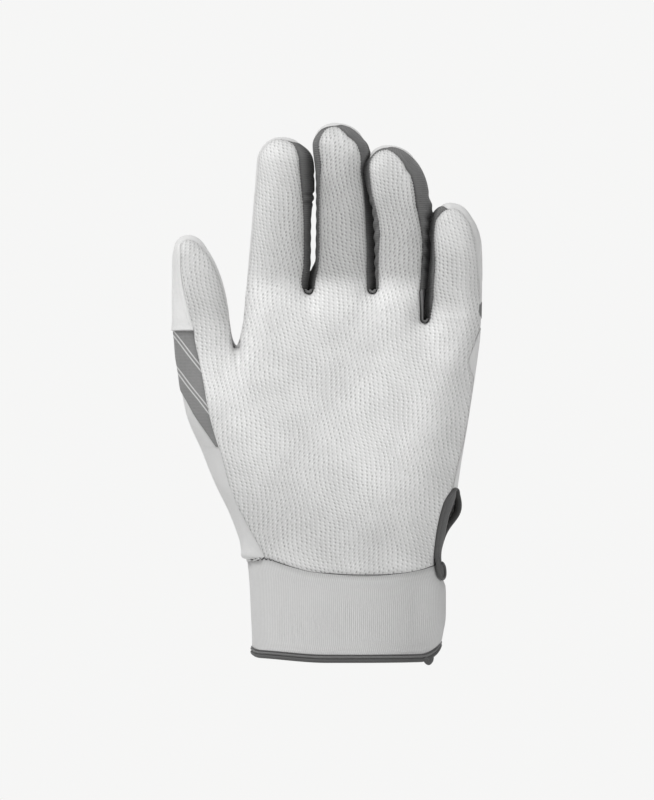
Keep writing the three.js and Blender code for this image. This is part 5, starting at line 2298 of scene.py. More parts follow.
@dataclass(frozen=True)
class ThumbSide:
    """Stretch panel and plain gusset along the thumb side of the hand.

    Attributes:
        form: The glove's form.
        foot: Height of the stretch panel's lower corner.
        turn: Height at which the panel's lower edge crosses the outline.
        wrap: How far the panel reaches round to the back at the top.
        side_wrap: How far the gusset reaches round to the back.
        reach: Distance over which the side is rounded.
        thickness: Thickness of the gusset's cloth.
    """

    form: GloveForm
    foot: float = 91.0
    turn: float = 115.0
    wrap: float = 10.0
    side_wrap: float = 12.0
    reach: float = 24.0
    thickness: float = 1.1

    COLUMNS = 33
    PANEL_ROWS = 71
    LOWER_ROWS = 60
    TUCK = 1.6

    @property
    def front_inset(self) -> HeightCurve:
        """How far in from the outline the palm leather starts."""
        return HeightCurve(((43.0, 8.2), (68.0, 5.4), (91.0, 8.7), (118.0, 10.8), (140.7, 9.2)))

    def back_inset(self, z: Array) -> Array:
        """How far in from the outline the back leather starts."""
        return np.full_like(np.asarray(z, float), self.side_wrap)

    def back_edge(self, z: Array) -> Array:
        """Signed distance from the outline to the stretch panel's back edge, positive on the back."""
        low = 1.0 - float(self.front_inset(self.foot))
        return HeightCurve(((self.foot, low), (self.turn, 0.0), (self.form.thumb_cut, self.wrap)))(z)

    def rows(self, z: Array, start: Array, end: Array) -> Spots:
        """Rows of spots round the side of the hand.

        Args:
            z: Heights of the rows.
            start: Signed distance from the outline at the front.
            end: Signed distance at the back.

        Returns:
            The grid.
        """
        first = np.sign(start) * turn_for(np.abs(start), self.reach)
        last = np.sign(end) * turn_for(np.abs(end), self.reach)
        turn = lerp(first[:, None], last[:, None], np.linspace(0.0, 1.0, self.COLUMNS)[None])
        edge_x = self.form.left_edge(z)[:, None]
        return around_edge(edge_x, z[:, None], edge_x + self.reach, z[:, None], turn, Side.BACK)

    def build(self, tailor: Tailor) -> None:
        """Makes the stretch panel and the gusset.

        Args:
            tailor: Makes the pieces.
        """
        z = np.linspace(self.foot, self.form.thumb_cut, self.PANEL_ROWS)
        panel = self.rows(z, -self.front_inset(z), self.back_edge(z))
        panel.lift = 0.1 * np.sin(panel.z * 0.5) * np.ones_like(panel.x)
        panel.pattern = np.stack([panel.z, panel.x], axis=2)
        seam = self._edge_mask(panel, tailor)
        tailor.cloth("thumb_stretch_cloth", [panel], [seam], self.thickness, "grey_stretch",
                     outer=-0.3, nodes=["thumb_stretch_panel"])
        above_seam = 0.2
        lower_z = np.linspace(self.form.cuff_height + above_seam, self.foot, self.LOWER_ROWS + 1)[:-1]
        back = self.side_wrap + self.TUCK
        lower = self.rows(lower_z, -self.front_inset(lower_z) - self.TUCK, np.full(len(lower_z), back))
        upper = self.rows(z, self.back_edge(z), np.full(len(z), back))
        gusset = joined([lower, upper], 0)
        seam_z = self.form.cuff_seam(gusset.x) + above_seam
        height = lerp(seam_z, gusset.z, smoothstep(gusset.z, lower_z[0], lower_z[0] + 14.0))
        gusset.x = gusset.x + self.form.left_edge(height) - self.form.left_edge(gusset.z)
        gusset.z = height
        gusset.lift = 0.25 * np.sin(gusset.z * 0.33 + gusset.x * 0.2) * smoothstep(gusset.z, 46.0, 56.0)
        gusset.lift = gusset.lift + self.form.side_fold(gusset.x, gusset.z)
        tailor.lay_out(gusset)
        tailor.cloth(
            "thumb_side_cloth", [gusset], [self._edge_mask(gusset, tailor)], self.thickness, "side_fabric",
            outer=-0.5, nodes=["thumb_side_gusset"],
        )

    @staticmethod
    def _edge_mask(spots: Spots, tailor: Tailor) -> Array:
        """Seam mask along both side edges of a grid."""
        across = arc_pattern(tailor.skin.place(spots, 0.0))[..., 0]
        return seam_shade(across[:, -1:] - np.abs(across))


@dataclass(frozen=True)
class Slit:
    """Keyhole slit at the little finger side, with its two bound edges.

    Attributes:
        form: The glove's form.
        top: Height at which the slit ends.
        strip_foot: Height from which a strip of the back leather comes round.
        strip_top: Height up to which the strip goes.
        piping: Radius of the front piping.
        inset: Distance from the outline at which the leathers meet.
    """

    form: GloveForm
    top: float = 74.0
    strip_foot: float = 78.0
    strip_top: float = 141.5
    piping: float = 0.75
    inset: float = 0.0005

    PIPING_STEPS = 170
    BAND_ROWS = 110
    BAND_COLUMNS = 11
    STRIP_ROWS = 110
    STRIP_COLUMNS = 13
    FACING_ROWS = 60
    FACING_COLUMNS = 25

    def round_edge(self, z: Array, turn: Array, reach: float) -> Spots:
        """Rows of spots round the edge of the hand, at turns about it."""
        edge_x = self.form.right_edge(z)[:, None]
        return around_edge(edge_x, z[:, None], edge_x - reach, z[:, None], turn, Side.BACK)

    @property
    def front_line(self) -> Array:
        """Middle line of the front piping, from the top of the slit round the tab at its foot."""
        marks = (
            (47.0, 73.2), (45.75, 72.6), (44.0, 70.6), (42.3, 67.8), (40.9, 63.5), (39.8, 59.0),
            (38.9, 54.4), (38.35, 49.8), (37.95, 45.8), (37.7, 41.9), (37.9, 38.5), (38.7, 36.0),
            (39.6, 35.2), (40.3, 35.9), (40.55, 37.6), (40.4, 39.4), (39.9, 41.1), (39.3, 42.0),
        )
        line = smooth_path(marks, self.PIPING_STEPS)
        line[:, 0] = np.minimum(line[:, 0], self.form.right_edge(line[:, 1]) - 0.03)
        return line

    def band_edges(self, z: Array) -> tuple:
        """Left and right edges of the flat band beside the piping.

        Args:
            z: Heights in millimetres.

        Returns:
            Places across of the left and of the right edge.
        """
        left = HeightCurve((
            (35.2, 39.3), (36.0, 38.6), (38.5, 37.9), (41.9, 37.7), (45.8, 38.0), (49.8, 38.4), (54.4, 39.0),
            (59.0, 39.9), (63.5, 41.0), (67.8, 42.4), (70.6, 44.1), (72.8, 46.0),
        ))
        right = HeightCurve((
            (35.2, 39.9), (36.2, 40.4), (38.0, 40.5), (40.0, 40.3), (41.8, 39.9), (43.5, 40.2), (45.8, 40.9),
            (49.8, 41.7), (53.8, 42.6), (57.2, 43.2), (61.8, 44.3), (65.8, 45.7), (69.5, 47.0), (72.8, 47.3),
        ))
        return left(z), np.minimum(right(z), self.form.right_edge(z) - 0.02)

    @staticmethod
    def over_cuff(z: Array) -> Array:
        """Lift that takes the lower end of the band over the cuff's edge."""
        return 1.5 * (1.0 - smoothstep(z, 40.0, 47.0))

    def palm_edge(self, z: Array) -> Array:
        """Right edge of the palm leather: under the band, then beside a strip of the back leather.

        Args:
            z: Heights.

        Returns:
            Places across.
        """
        outline = self.form.right_edge
        line = HeightCurve((
            (43.0, 38.1), (51.4, 38.9), (59.9, 40.4), (67.2, 42.6), (72.0, 45.4),
            (75.0, float(outline(75.0)) - 1.9), (self.strip_foot, float(outline(self.strip_foot)) - 1.7),
        ))
        strip = HeightCurve((
            (self.strip_foot, 1.7), (88.0, 0.8), (97.0, 0.2), (112.0, 0.1), (118.0, 0.2), (120.5, 0.5),
            (124.0, 2.5), (127.4, 3.7), (130.8, 3.2), (134.5, 2.2), (137.6, 1.4),
            (self.strip_top, self.inset),
        ))
        return np.where(z < self.strip_foot, line(z), outline(z) - np.maximum(strip(z), self.inset))

    def back_edge(self, z: Array) -> Array:
        """Right edge of the back leather."""
        gap = 1.2 * smoothstep(z, 42.0, 48.0) * (1.0 - smoothstep(z, self.top - 4.0, self.top + 5.0))
        return self.form.right_edge(z) - self.inset - gap

    @staticmethod
    def flare(distance: Array, z: Array) -> Array:
        """Lift of the back leather where the slit gapes."""
        return 3.6 * hump(distance, 0.0, 7.0) * hump(z, 65.0, 7.0)

    def build(self, tailor: Tailor) -> None:
        """Makes the bound edges, the dark facing between them and the strip above.

        Args:
            tailor: Makes the pieces.
        """
        z = np.linspace(35.3, 72.8, self.BAND_ROWS)
        left, right = self.band_edges(z)
        x = lerp(left[:, None], right[:, None], np.linspace(0.0, 1.0, self.BAND_COLUMNS)[None])
        band = spots_on(x, np.broadcast_to(z[:, None], x.shape).copy(), Side.PALM)
        raised = 0.3
        edge_dip = 0.35
        dip_width = 0.2
        groove_place = 1.05
        groove_width = 0.4
        band.lift = raised + self.over_cuff(band.z) - edge_dip * np.exp(-(right[:, None] - x) / dip_width)
        tailor.lay_out(band)
        # Painted shade of a stitched groove along the band; the band's shape has no groove there.
        groove = hump(x - left[:, None], groove_place, groove_width)
        tailor.cloth("slit_band_front", [band], [groove], 0.9, "binding", nodes=["slit_binding"])
        line = self.front_line
        spots = spots_on(line[None, :, 0], line[None, :, 1], Side.PALM)
        spots.lift = self.over_cuff(spots.z)
        path, outward, across = tailor.frame_along(spots, 0.35)
        tailor.tape("slit_piping", path, across, outward, oval(self.piping, self.piping, 14), "binding")
        back_z = np.linspace(self.top - 0.6, 46.0, 90)
        back = spots_on(self.back_edge(back_z)[None], back_z[None], Side.BACK)
        back.lift = self.flare(np.zeros_like(back.x), back.z)
        path, outward, across = tailor.frame_along(back, -0.5)
        tailor.tape("slit_band_back", path, across, outward, oval(1.7, 1.5, 14), "dark_thread")
        self.facing(tailor)
        self.strip(tailor)

    def strip(self, tailor: Tailor) -> None:
        """Makes the narrow strip of back leather that comes round the edge above the slit.

        Args:
            tailor: Makes the pieces.
        """
        z = np.linspace(self.top - 0.5, self.strip_top, self.STRIP_ROWS)
        reach = 20.0
        inset = np.maximum(self.form.right_edge(z) - self.palm_edge(z), 0.0)
        back_turn = lerp(0.3, 0.08, smoothstep(z, self.top + 1.0, self.top + 7.0))
        share = np.linspace(0.0, 1.0, self.STRIP_COLUMNS)
        turn = lerp(-turn_for(inset, reach)[:, None], back_turn[:, None], share[None])
        spots = self.round_edge(z, turn, reach)
        tailor.lay_out(spots)
        mask = seam_shade((turn - turn[:, :1]) * reach)
        tailor.cloth("side_strip_leather", [spots], [mask], 1.2, "back_leather", outer=-0.06)

    def facing(self, tailor: Tailor) -> None:
        """Makes the sheet seen through the slit: dark stretch cloth painted near-black, as painted shade
        inside the glove.

        Args:
            tailor: Makes the pieces.
        """
        z = np.linspace(9.5, self.top + 5.0, self.FACING_ROWS)
        share = np.linspace(0.0, 1.0, self.FACING_COLUMNS)
        front_inset = self.form.right_edge(z) - self.palm_edge(z) + 2.0
        back_inset = self.form.right_edge(z) - self.back_edge(z) + 3.0
        reach = 30.0
        behind = 2.0
        front_turn = -turn_for(front_inset, reach)
        turn = lerp(front_turn[:, None], turn_for(back_inset, reach)[:, None], share[None])
        spots = self.round_edge(z, turn, reach)
        tailor.lay_out(spots, -behind)
        # Near-black sheet: painted shade inside the glove.
        tailor.cloth("slit_facing", [spots], [np.zeros(turn.shape)], 0.8, "dark_stretch_in_painted_shade", outer=-behind)


@dataclass(frozen=True)
class HandPanels:
    """Leather of the palm and of the back of the hand.

    Attributes:
        form: The glove's form.
        fingers: The four fingers' pieces.
        thumb: The thumb's pieces.
        webs: The three forks.
        thumb_side: The panels on the thumb side.
        slit: The slit at the little finger side.
        leather: Thickness of the leather.
        thenar_foot: Place across of the lower end of the line where the two grids meet.
    """

    form: GloveForm
    fingers: tuple
    thumb: ThumbPieces
    webs: tuple
    thumb_side: ThumbSide
    slit: Slit
    leather: float = 1.2
    thenar_foot: float = -26.0

    WEB_ROWS = 64
    TOP_ROWS = 16
    VEE_STEPS = 10

    def knuckle_line(self, side: Side) -> Array:
        """Upper edge under the fingers, round each fork.

        Args:
            side: The face.

        Returns:
            Points of the edge.
        """
        parts = []
        for k, finger in enumerate(self.fingers):
            x = finger.base_row(side)
            parts.append(np.stack([x, np.full(len(x), finger.stall.cut)], axis=1))
            if k < len(self.webs):
                parts.append(self.webs[k].rim(side)[1:-1])
        return np.concatenate(parts)

    def thumb_line(self, side: Side) -> Array:
        """Upper edge under the thumb.

        Args:
            side: The face.

        Returns:
            Points of the edge.
        """
        thumb = self.thumb.stall
        x = self.thumb.base_row(Side.PALM)
        if side is Side.BACK:
            low = float(self.form.left_edge(thumb.cut)) + self.thumb_side.side_wrap
            x = np.linspace(low, float(thumb.right_of(thumb.cut)) - 0.02, len(x))
        return np.stack([x, np.full(len(x), thumb.cut)], axis=1)

    def grids(self, side: Side) -> tuple:
        """The two grids of one face and the lines of its seams.

        Args:
            side: The face.

        Returns:
            The main grid, the thumb grid and the list of seam lines.
        """
        form = self.form
        lift = 0.05
        web = np.array(form.thumb_web_place)
        foot = np.array([self.thenar_foot, float(form.cuff_seam(self.thenar_foot)) + lift])
        meeting = lerp(foot[None], web[None], np.linspace(0.0, 1.0, self.WEB_ROWS + 1)[:, None])
        index = self.fingers[0].stall
        edge_z = np.linspace(web[1], index.cut, self.TOP_ROWS + 1)[1:]
        index_edge = np.stack([index.left_of(edge_z) + 0.02, edge_z], axis=1)
        left = np.concatenate([meeting, index_edge])
        edge = self.slit.palm_edge if side is Side.PALM else self.slit.back_edge
        right_foot = float(form.cuff_seam(edge(np.float64(form.cuff_height)))) + lift
        right_z = np.linspace(right_foot, form.little_cut, len(left))
        right = np.stack([edge(right_z), right_z], axis=1)
        top = self.knuckle_line(side)
        bottom_x = lerp(foot[0], right[0, 0], travel(top))
        bottom = np.stack([bottom_x, form.cuff_seam(bottom_x) + lift], axis=1)
        main = coons(bottom, top, left, right)
        thumb_top = self.thumb_line(side)
        vee_z = np.linspace(web[1], self.thumb.stall.cut, self.VEE_STEPS + 1)[1:]
        vee = np.stack([self.thumb.stall.right_of(vee_z) - 0.01, vee_z], axis=1)
        vee[-1] = thumb_top[-1]
        inner = np.concatenate([meeting, vee])
        wrap = self.thumb_side.front_inset if side is Side.PALM else self.thumb_side.back_inset
        outer_foot = form.left_edge(form.cuff_height) + wrap(form.cuff_height)
        rise = (inner[:, 1] - inner[0, 1]) / (inner[-1, 1] - inner[0, 1])
        outer_z = lerp(float(form.cuff_seam(outer_foot)) + lift, inner[-1, 1], rise)
        outer = np.stack([form.left_edge(outer_z) + wrap(outer_z), outer_z], axis=1)
        foot_x = lerp(outer[0, 0], foot[0], travel(thumb_top))
        thumb_foot = np.stack([foot_x, form.cuff_seam(foot_x) + lift], axis=1)
        thumb = coons(thumb_foot, thumb_top, outer, inner)
        seams = [right, bottom, thumb_foot, outer] + [fork.rim(side) for fork in self.webs]
        return main, thumb, seams

    def panel(self, side: Side) -> tuple:
        """Spots and seam masks of one face.

        Args:
            side: The face.

        Returns:
            The grids of spots and their seam masks.
        """
        main, thumb, seams = self.grids(side)
        spots = []
        masks = []
        for grid in (main, thumb):
            x = grid[..., 0]
            z = grid[..., 1]
            distance = np.min([distance_to(x, z, line) for line in seams], axis=0)
            here = spots_on(x, z, side)
            here.lift = rolled_rim(distance)
            if side is Side.PALM:
                here.lift = here.lift + PalmRelief.at(x, z)
            else:
                here.lift = here.lift + self.slit.flare(distance_to(x, z, seams[0]), z)
            spots.append(here)
            # Painted shade of the palm, added to the seam mask.
            soft = self.palm_shade(x, z) if side is Side.PALM else 0.0
            masks.append(seam_shade(distance) + soft)
        return spots, masks

    @staticmethod
    def palm_shade(x: Array, z: Array) -> Array:
        """Shade of the palm where it falls off towards the cuff, and under the little finger."""
        low = 0.5 * (1.0 - smoothstep(z, 55.0, 92.0)) * (1.0 - smoothstep(x, 14.0, 27.0))
        return low + 0.55 * hump(x, 46.0, 9.0) * hump(z, 143.0, 9.0)

    def build(self, tailor: Tailor) -> None:
        """Makes both faces.

        Args:
            tailor: Makes the pieces.
        """
        spots, masks = self.panel(Side.PALM)
        tailor.cloth("palm_leather_panel", spots, masks, self.leather, "palm_leather",
                     nodes=["palm_panel", "thenar_panel"])
        spots, masks = self.panel(Side.BACK)
        tailor.cloth("back_leather_panel", spots, masks, self.leather, "back_leather", nodes=["back_panel"])


@dataclass(frozen=True)
class Cuff:
    """Ribbed cuff, its leather back, the hem binding and the sewn line at the hand.

    Attributes:
        form: The glove's form.
        thickness: Thickness of the cuff.
        wrap: How far the front wraps round the thumb side.
        hem_height: Height of the hem binding.
        rib_pitch: Distance from rib to rib.
        right_reach: Place across of the right edge, which covers the strap's root.
    """

    form: GloveForm
    thickness: float = 1.8
    wrap: float = 15.0
    hem_height: float = 3.4
    rib_pitch: float = 0.86
    right_reach: float = 43.1

    FRONT_STEPS = 330
    FRONT_ROWS = 15
    BACK_STEPS = 50
    BACK_ROWS = 25
    LOOP_STEPS = 70
    RIB_HEIGHT = 0.1
    SEAM_DIP = 0.3
    DIP_WIDTH = 0.8
    WAVE = 0.2

    @staticmethod
    def hem_low(x: Array) -> Array:
        """Height of the hem's lower edge, which is rounded up at both corners.

        Args:
            x: Places across.

        Returns:
            Heights.
        """

        def corner(over: Array, length: float, height: float) -> Array:
            """Rise of a rounded corner."""
            share = np.clip(over / length, 0.0, 0.985)
            return height * (1.0 - np.sqrt(1.0 - share**2))

        return corner(x - 31.5, 8.2, 7.4) + corner(-35.6 - x, 4.2, 2.2) + 1.6 * smoothstep(-x, 8.0, 38.0)

    def flare(self, x: Array, z: Array) -> Array:
        """Lift of the cuff towards its right edge, where the strap comes out from under it.

        Args:
            x: Places across.
            z: Heights.

        Returns:
            The lift.
        """
        reach = self.right_reach - 3.0 * (1.0 - smoothstep(z, 2.0, 20.0))
        lift = np.maximum(reach - self.form.right_edge(z), 0.0)
        return lift * smoothstep(x, 29.0, 39.4) * (1.0 - 0.85 * smoothstep(z, 31.0, 37.0))

    def half_row(self, z: Array, side: Side, left: bool, start: float, steps: int) -> Spots:
        """Spots from one edge to the middle of the cuff.

        Args:
            z: Heights of the rows.
            side: The face.
            left: Whether it starts at the left edge.
            start: Turn at which the row starts.
            steps: Number of steps.

        Returns:
            The grid.
        """
        edge = (self.form.left_edge if left else self.form.right_edge)(z)[:, None]
        middle = (self.form.left_edge(z) + self.form.right_edge(z))[:, None] / 2.0
        turn = lerp(start, math.pi / 2.0, np.linspace(0.0, 1.0, steps + 1))[None] * np.ones_like(edge)
        return around_edge(edge, z[:, None], middle, z[:, None], turn, side)

    def face(self, side: Side, steps: int, rows: int) -> Spots:
        """Spots of the cuff's front or back.

        Args:
            side: The face.
            steps: Columns on each half.
            rows: Number of rows.

        Returns:
            The grid.
        """
        reach = self.form.cuff_width / 2.0
        wrap = float(turn_for(np.float64(self.wrap), reach))
        left_turn = -wrap if side is Side.PALM else wrap
        share = np.linspace(0.0, 1.0, rows)
        z = share * self.form.cuff_height
        left = self.half_row(z, side, True, left_turn, steps)
        right = self.half_row(z, side, False, 0.016, steps)
        spots = joined([left, right.columns(BACKWARDS_FROM_SECOND)], 1)
        low = self.hem_low(spots.x) + self.hem_height - 0.8
        spots.z = lerp(low, self.form.cuff_seam(spots.x) - 0.1, share[:, None])
        return spots

    def build(self, tailor: Tailor) -> None:
        """Makes the cuff's pieces.

        Args:
            tailor: Makes the pieces.
        """
        front = self.face(Side.PALM, self.FRONT_STEPS, self.FRONT_ROWS)
        tailor.lay_out(front)
        u = front.pattern[..., 0]
        right = smoothstep(front.x, 33.0, 37.0)
        middle = (front.side < 0.0) * smoothstep(front.x, -33.0, -27.0) * (1.0 - right)
        edge = front.z - self.form.cuff_seam(front.x)
        ribs = self.RIB_HEIGHT * np.sin(u * 2.0 * math.pi / self.rib_pitch) * middle
        front.lift = ribs - self.SEAM_DIP * np.exp(edge / self.DIP_WIDTH)
        front.lift = front.lift + self.WAVE * np.sin(front.x * 0.16 + front.z * 0.1)
        front.lift = front.lift + self.flare(front.x, front.z) * (front.side < 0.0)
        tailor.cloth("cuff_rib_knit", [front], [seam_shade(-edge)], self.thickness, "cuff_rib",
                     outer=-0.1, nodes=["cuff_front"])
        back = self.face(Side.BACK, self.BACK_STEPS, self.BACK_ROWS)
        tailor.lay_out(back)
        edge = self.form.cuff_seam(back.x) - back.z
        tailor.cloth("cuff_back_leather", [back], [seam_shade(edge)], self.thickness, "back_leather",
                     outer=-0.1, nodes=["cuff_back"])
        self.hem(tailor)
        self.seam_line(tailor)

    def hem_loop(self) -> Spots:
        """Spots once round the wrist opening, at the middle of the hem."""
        zero = np.zeros(1)
        quarters = [
            self.half_row(zero, side, left, 0.0, self.LOOP_STEPS)
            for side, left in ((Side.PALM, True), (Side.PALM, False), (Side.BACK, False), (Side.BACK, True))
        ]
        loop = joined([
            quarters[0].columns(slice(None, -1)), quarters[1].columns(slice(None, 0, -1)),
            quarters[2].columns(slice(None, -1)), quarters[3].columns(slice(None, None, -1)),
            quarters[0].columns(slice(0, 1)),
        ], 1)
        loop.z = self.hem_low(loop.x) + self.hem_height / 2.0
        # The loop stays just inside the outline, so that every spot is on the skin.
        inside = 0.99999
        edge = np.where(loop.x < 0.0, self.form.left_edge(loop.z), self.form.right_edge(loop.z))
        loop.x = loop.x * inside * np.abs(edge) / (self.form.hem_width / 2.0)
        loop.lift = 0.8 * self.flare(loop.x, loop.z)
        return loop

    def hem(self, tailor: Tailor) -> None:
        """Makes the hem binding: a dark fold with a lighter stripe along its upper half.

        Args:
            tailor: Makes the pieces.
        """
        path, outward, across = tailor.frame_along(self.hem_loop(), 0.0, closed=True)
        half = self.hem_height / 2.0
        fold = np.array([
            (-half, -2.0), (-half - 0.05, -1.0), (-half, 0.1), (-half + 0.35, 0.6), (-half + 0.9, 0.78),
            (-half + 1.4, 0.66), (-half + 1.65, 0.25), (-half + 1.8, 0.2), (half - 0.35, 0.2),
            (half - 0.2, 0.5), (half, 0.45), (half + 0.1, 0.1), (half + 0.1, -2.0),
        ])
        tailor.tape("hem_fold", path, across, outward, fold, "binding", closed=True,
                    nodes=["hem_binding_front", "hem_binding_back"])
        stripe = np.array([(0.15, 0.0), (0.2, 0.5), (0.5, 0.75), (0.9, 0.72), (1.15, 0.5), (1.2, 0.0)])
        tailor.tape("hem_stripe", path, across, outward, stripe, "binding_light", closed=True)
        self.hem_tail(tailor)

    def hem_tail(self, tailor: Tailor) -> None:
        """Makes the short end of the binding that hangs below the hem.

        Args:
            tailor: Makes the pieces.
        """
        line = smooth_path(((33.2, 2.3), (33.9, 0.7), (35.0, 0.0), (36.0, 0.8), (36.5, 2.8)), 40)
        spots = spots_on(line[None, :, 0], line[None, :, 1], Side.PALM)
        path, outward, across = tailor.frame_along(spots, 0.5)
        tailor.tape("hem_tail", path, across, outward, oval(1.4, 0.8, 16), "binding")

    def seam_line(self, tailor: Tailor) -> None:
        """Makes the dark sewn line between the cuff and the hand, with a zigzag at its left end.

        Args:
            tailor: Makes the pieces.
        """
        x = np.linspace(-41.0, 38.6, 540)
        zigzag = np.abs(((x * 0.55) % 1.0) * 2.0 - 1.0) - 0.5
        z = self.form.cuff_seam(x) + 1.1 * zigzag * (1.0 - smoothstep(x, -34.0, -28.0))
        line = spots_on(x[None], z[None], Side.PALM)
        line.lift = self.form.side_fold(line.x, line.z)
        path, outward, across = tailor.frame_along(line, -0.35)
        tailor.tape("cuff_seam_thread", path, across, outward, oval(0.17, 0.17, 8), "dark_thread")


@dataclass(frozen=True)
class Strap:
    """Wrist strap on the back, with its hook and loop patches and its pull tab.

    Attributes:
        form: The glove's form.
        bottom: Height of its lower edge.
        top: Height of its upper edge.
        end: Place across of its free end.
        thickness: Thickness of the strap.
        end_lift: Height of its underside off the cuff over its free length.
        root_lift: The same at its root.
        patch: Thickness of the hook and loop patches.
        corner: Radius of the corners at its free end.
    """

    form: GloveForm
    bottom: float = 6.0
    top: float = 35.0
    end: float = -18.0
    thickness: float = 1.8
    end_lift: float = 3.2
    root_lift: float = -0.7
    patch: float = 1.0
    corner: float = 5.0

    ROUND_STEPS = 60
    FLAT_STEPS = 42
    ROWS = 25

    def lift(self, x: Array) -> Array:
        """Height of the strap's underside off the cuff."""
        root = float(self.form.right_edge(self.top)) - 1.0
        return lerp(self.end_lift, self.root_lift, smoothstep(x, 18.0, root))

    def spots(self) -> Spots:
        """Grid of the strap from its root round to its free end."""
        middle_z = (self.bottom + self.top) / 2.0
        edge = float(self.form.right_edge(middle_z)) - 0.02
        turn = np.linspace(0.02, math.pi / 2.0, self.ROUND_STEPS)
        reach = 41.0
        rounded = edge - reach * (1.0 - np.cos(turn))
        x = np.concatenate([rounded, np.linspace(rounded[-1], self.end, self.FLAT_STEPS)[1:]])
        near_end = np.clip(self.end + self.corner - x, 0.0, self.corner)
        inset = self.corner - np.sqrt(np.maximum(self.corner**2 - near_end**2, 0.0))
        near_root = 2.2 * smoothstep(x, edge - 6.0, edge)
        share = np.linspace(0.0, 1.0, self.ROWS)[:, None]
        z = lerp((self.bottom + inset + near_root)[None], (self.top - inset)[None], share)
        wide = np.broadcast_to(x[None], z.shape).copy()
        return Spots(wide, z, np.ones(z.shape), self.lift(x)[None] * np.ones(z.shape))

    def build(self, tailor: Tailor) -> None:
        """Makes the strap and what is sewn to it.

        Args:
            tailor: Makes the pieces.
        """
        strap = self.spots()
        tailor.lay_out(strap, self.thickness)
        edge = np.minimum(strap.z - strap.z[:1], strap.z[-1:] - strap.z)
        edge = np.minimum(edge, strap.x - self.end)
        rim_dip = 0.7
        roll = 0.25
        rounded = -rim_dip * np.exp(-((edge / 0.9) ** 2)) + roll * hump(edge, 4.0, 3.0)
        strap.lift = strap.lift + rounded
        tailor.cloth("strap_leather", [strap], [seam_shade(edge)], self.thickness, "back_leather",
                     outer=self.thickness, body="strap", nodes=["closure_strap"])
        self.stitch(tailor)
        middle = (self.bottom + self.top) / 2.0
        margin = 3.0
        low = self.bottom + margin
        high = self.top - margin
        loop_lift = 0.45
        hook_lift = loop_lift + self.patch + 0.3
        self.flat(
            tailor, "loop_patch_nap", (-23.5, 16.5), (low, high), loop_lift, self.patch, "loop_tape", "hand",
            "loop_patch",
        )
        self.flat(
            tailor, "hook_patch_tape", (-15.0, 8.0), (low, high), hook_lift, self.patch, "hook_tape",
            "strap", "hook_patch",
        )
        tab = (self.end - 10.3, self.end + 0.6)
        self.flat(
            tailor, "pull_tab_tape", tab, (middle - 6.5, middle + 6.5), self.end_lift, self.thickness - 0.3,
            "binding", "strap", "pull_tab",
        )

    def flat(self, tailor: Tailor, name: str, across: tuple, along: tuple, lift: float, thickness: float,
             finish: str, body: str, node: str) -> None:
        """Makes a flat patch with rounded corners on the back of the cuff.

        Args:
            tailor: Makes the piece.
            name: Name of the piece.
            across: Its ends across.
            along: Its lower and upper edge.
            lift: Height of its underside off the cuff.
            thickness: Thickness of the patch.
            finish: Name of its finish.
            body: The body it rides on.
            node: The solid that it stands for.
        """
        x = np.linspace(across[0], across[1], 41)
        radius = 1.6
        near = np.clip(radius - np.minimum(x - across[0], across[1] - x), 0.0, radius)
        inset = radius - np.sqrt(radius**2 - near**2)
        z = lerp((along[0] + inset)[None], (along[1] - inset)[None], np.linspace(0.0, 1.0, 31)[:, None])
        spots = spots_on(np.broadcast_to(x[None], z.shape).copy(), z, Side.BACK, lift)
        from_ends = np.minimum(x - across[0], across[1] - x)[None]
        edge = np.minimum(np.minimum(z - along[0], along[1] - z), from_ends)
        spots.lift = spots.lift - 0.35 * np.exp(-((edge / 0.5) ** 2))
        spots.pattern = np.stack([spots.x, spots.z], axis=2)
        tailor.cloth(
            name, [spots], [seam_shade(edge)], thickness, finish, outer=thickness, body=body, nodes=[node]
        )

    def stitch(self, tailor: Tailor) -> None:
        """Sews a row of stitches round the strap.

        Args:
            tailor: Makes the pieces.
        """
        margin = 2.0
        corner = 6.0
        steps = 60
        side_steps = 30
        middle_z = (self.bottom + self.top) / 2.0
        root = float(self.form.right_edge(middle_z)) - 5.0
        way = np.linspace(root, self.end + corner, steps)
        low = np.stack([way, np.full(steps, self.bottom + margin)], axis=1)
        climb = np.linspace(self.bottom + corner, self.top - corner, side_steps)
        side = np.stack([np.full(side_steps, self.end + margin), climb], axis=1)
        back = np.linspace(self.end + corner, root, steps)
        high = np.stack([back, np.full(steps, self.top - margin)], axis=1)
        line = np.concatenate([low, side, high])
        spots = spots_on(line[None, :, 0], line[None, :, 1], Side.BACK)
        spots.lift = self.lift(spots.x)
        path, outward, _ = tailor.frame_along(spots, self.thickness + 0.1)
        tailor.stitches("strap_stitches", path, outward, "light_thread", body="strap")


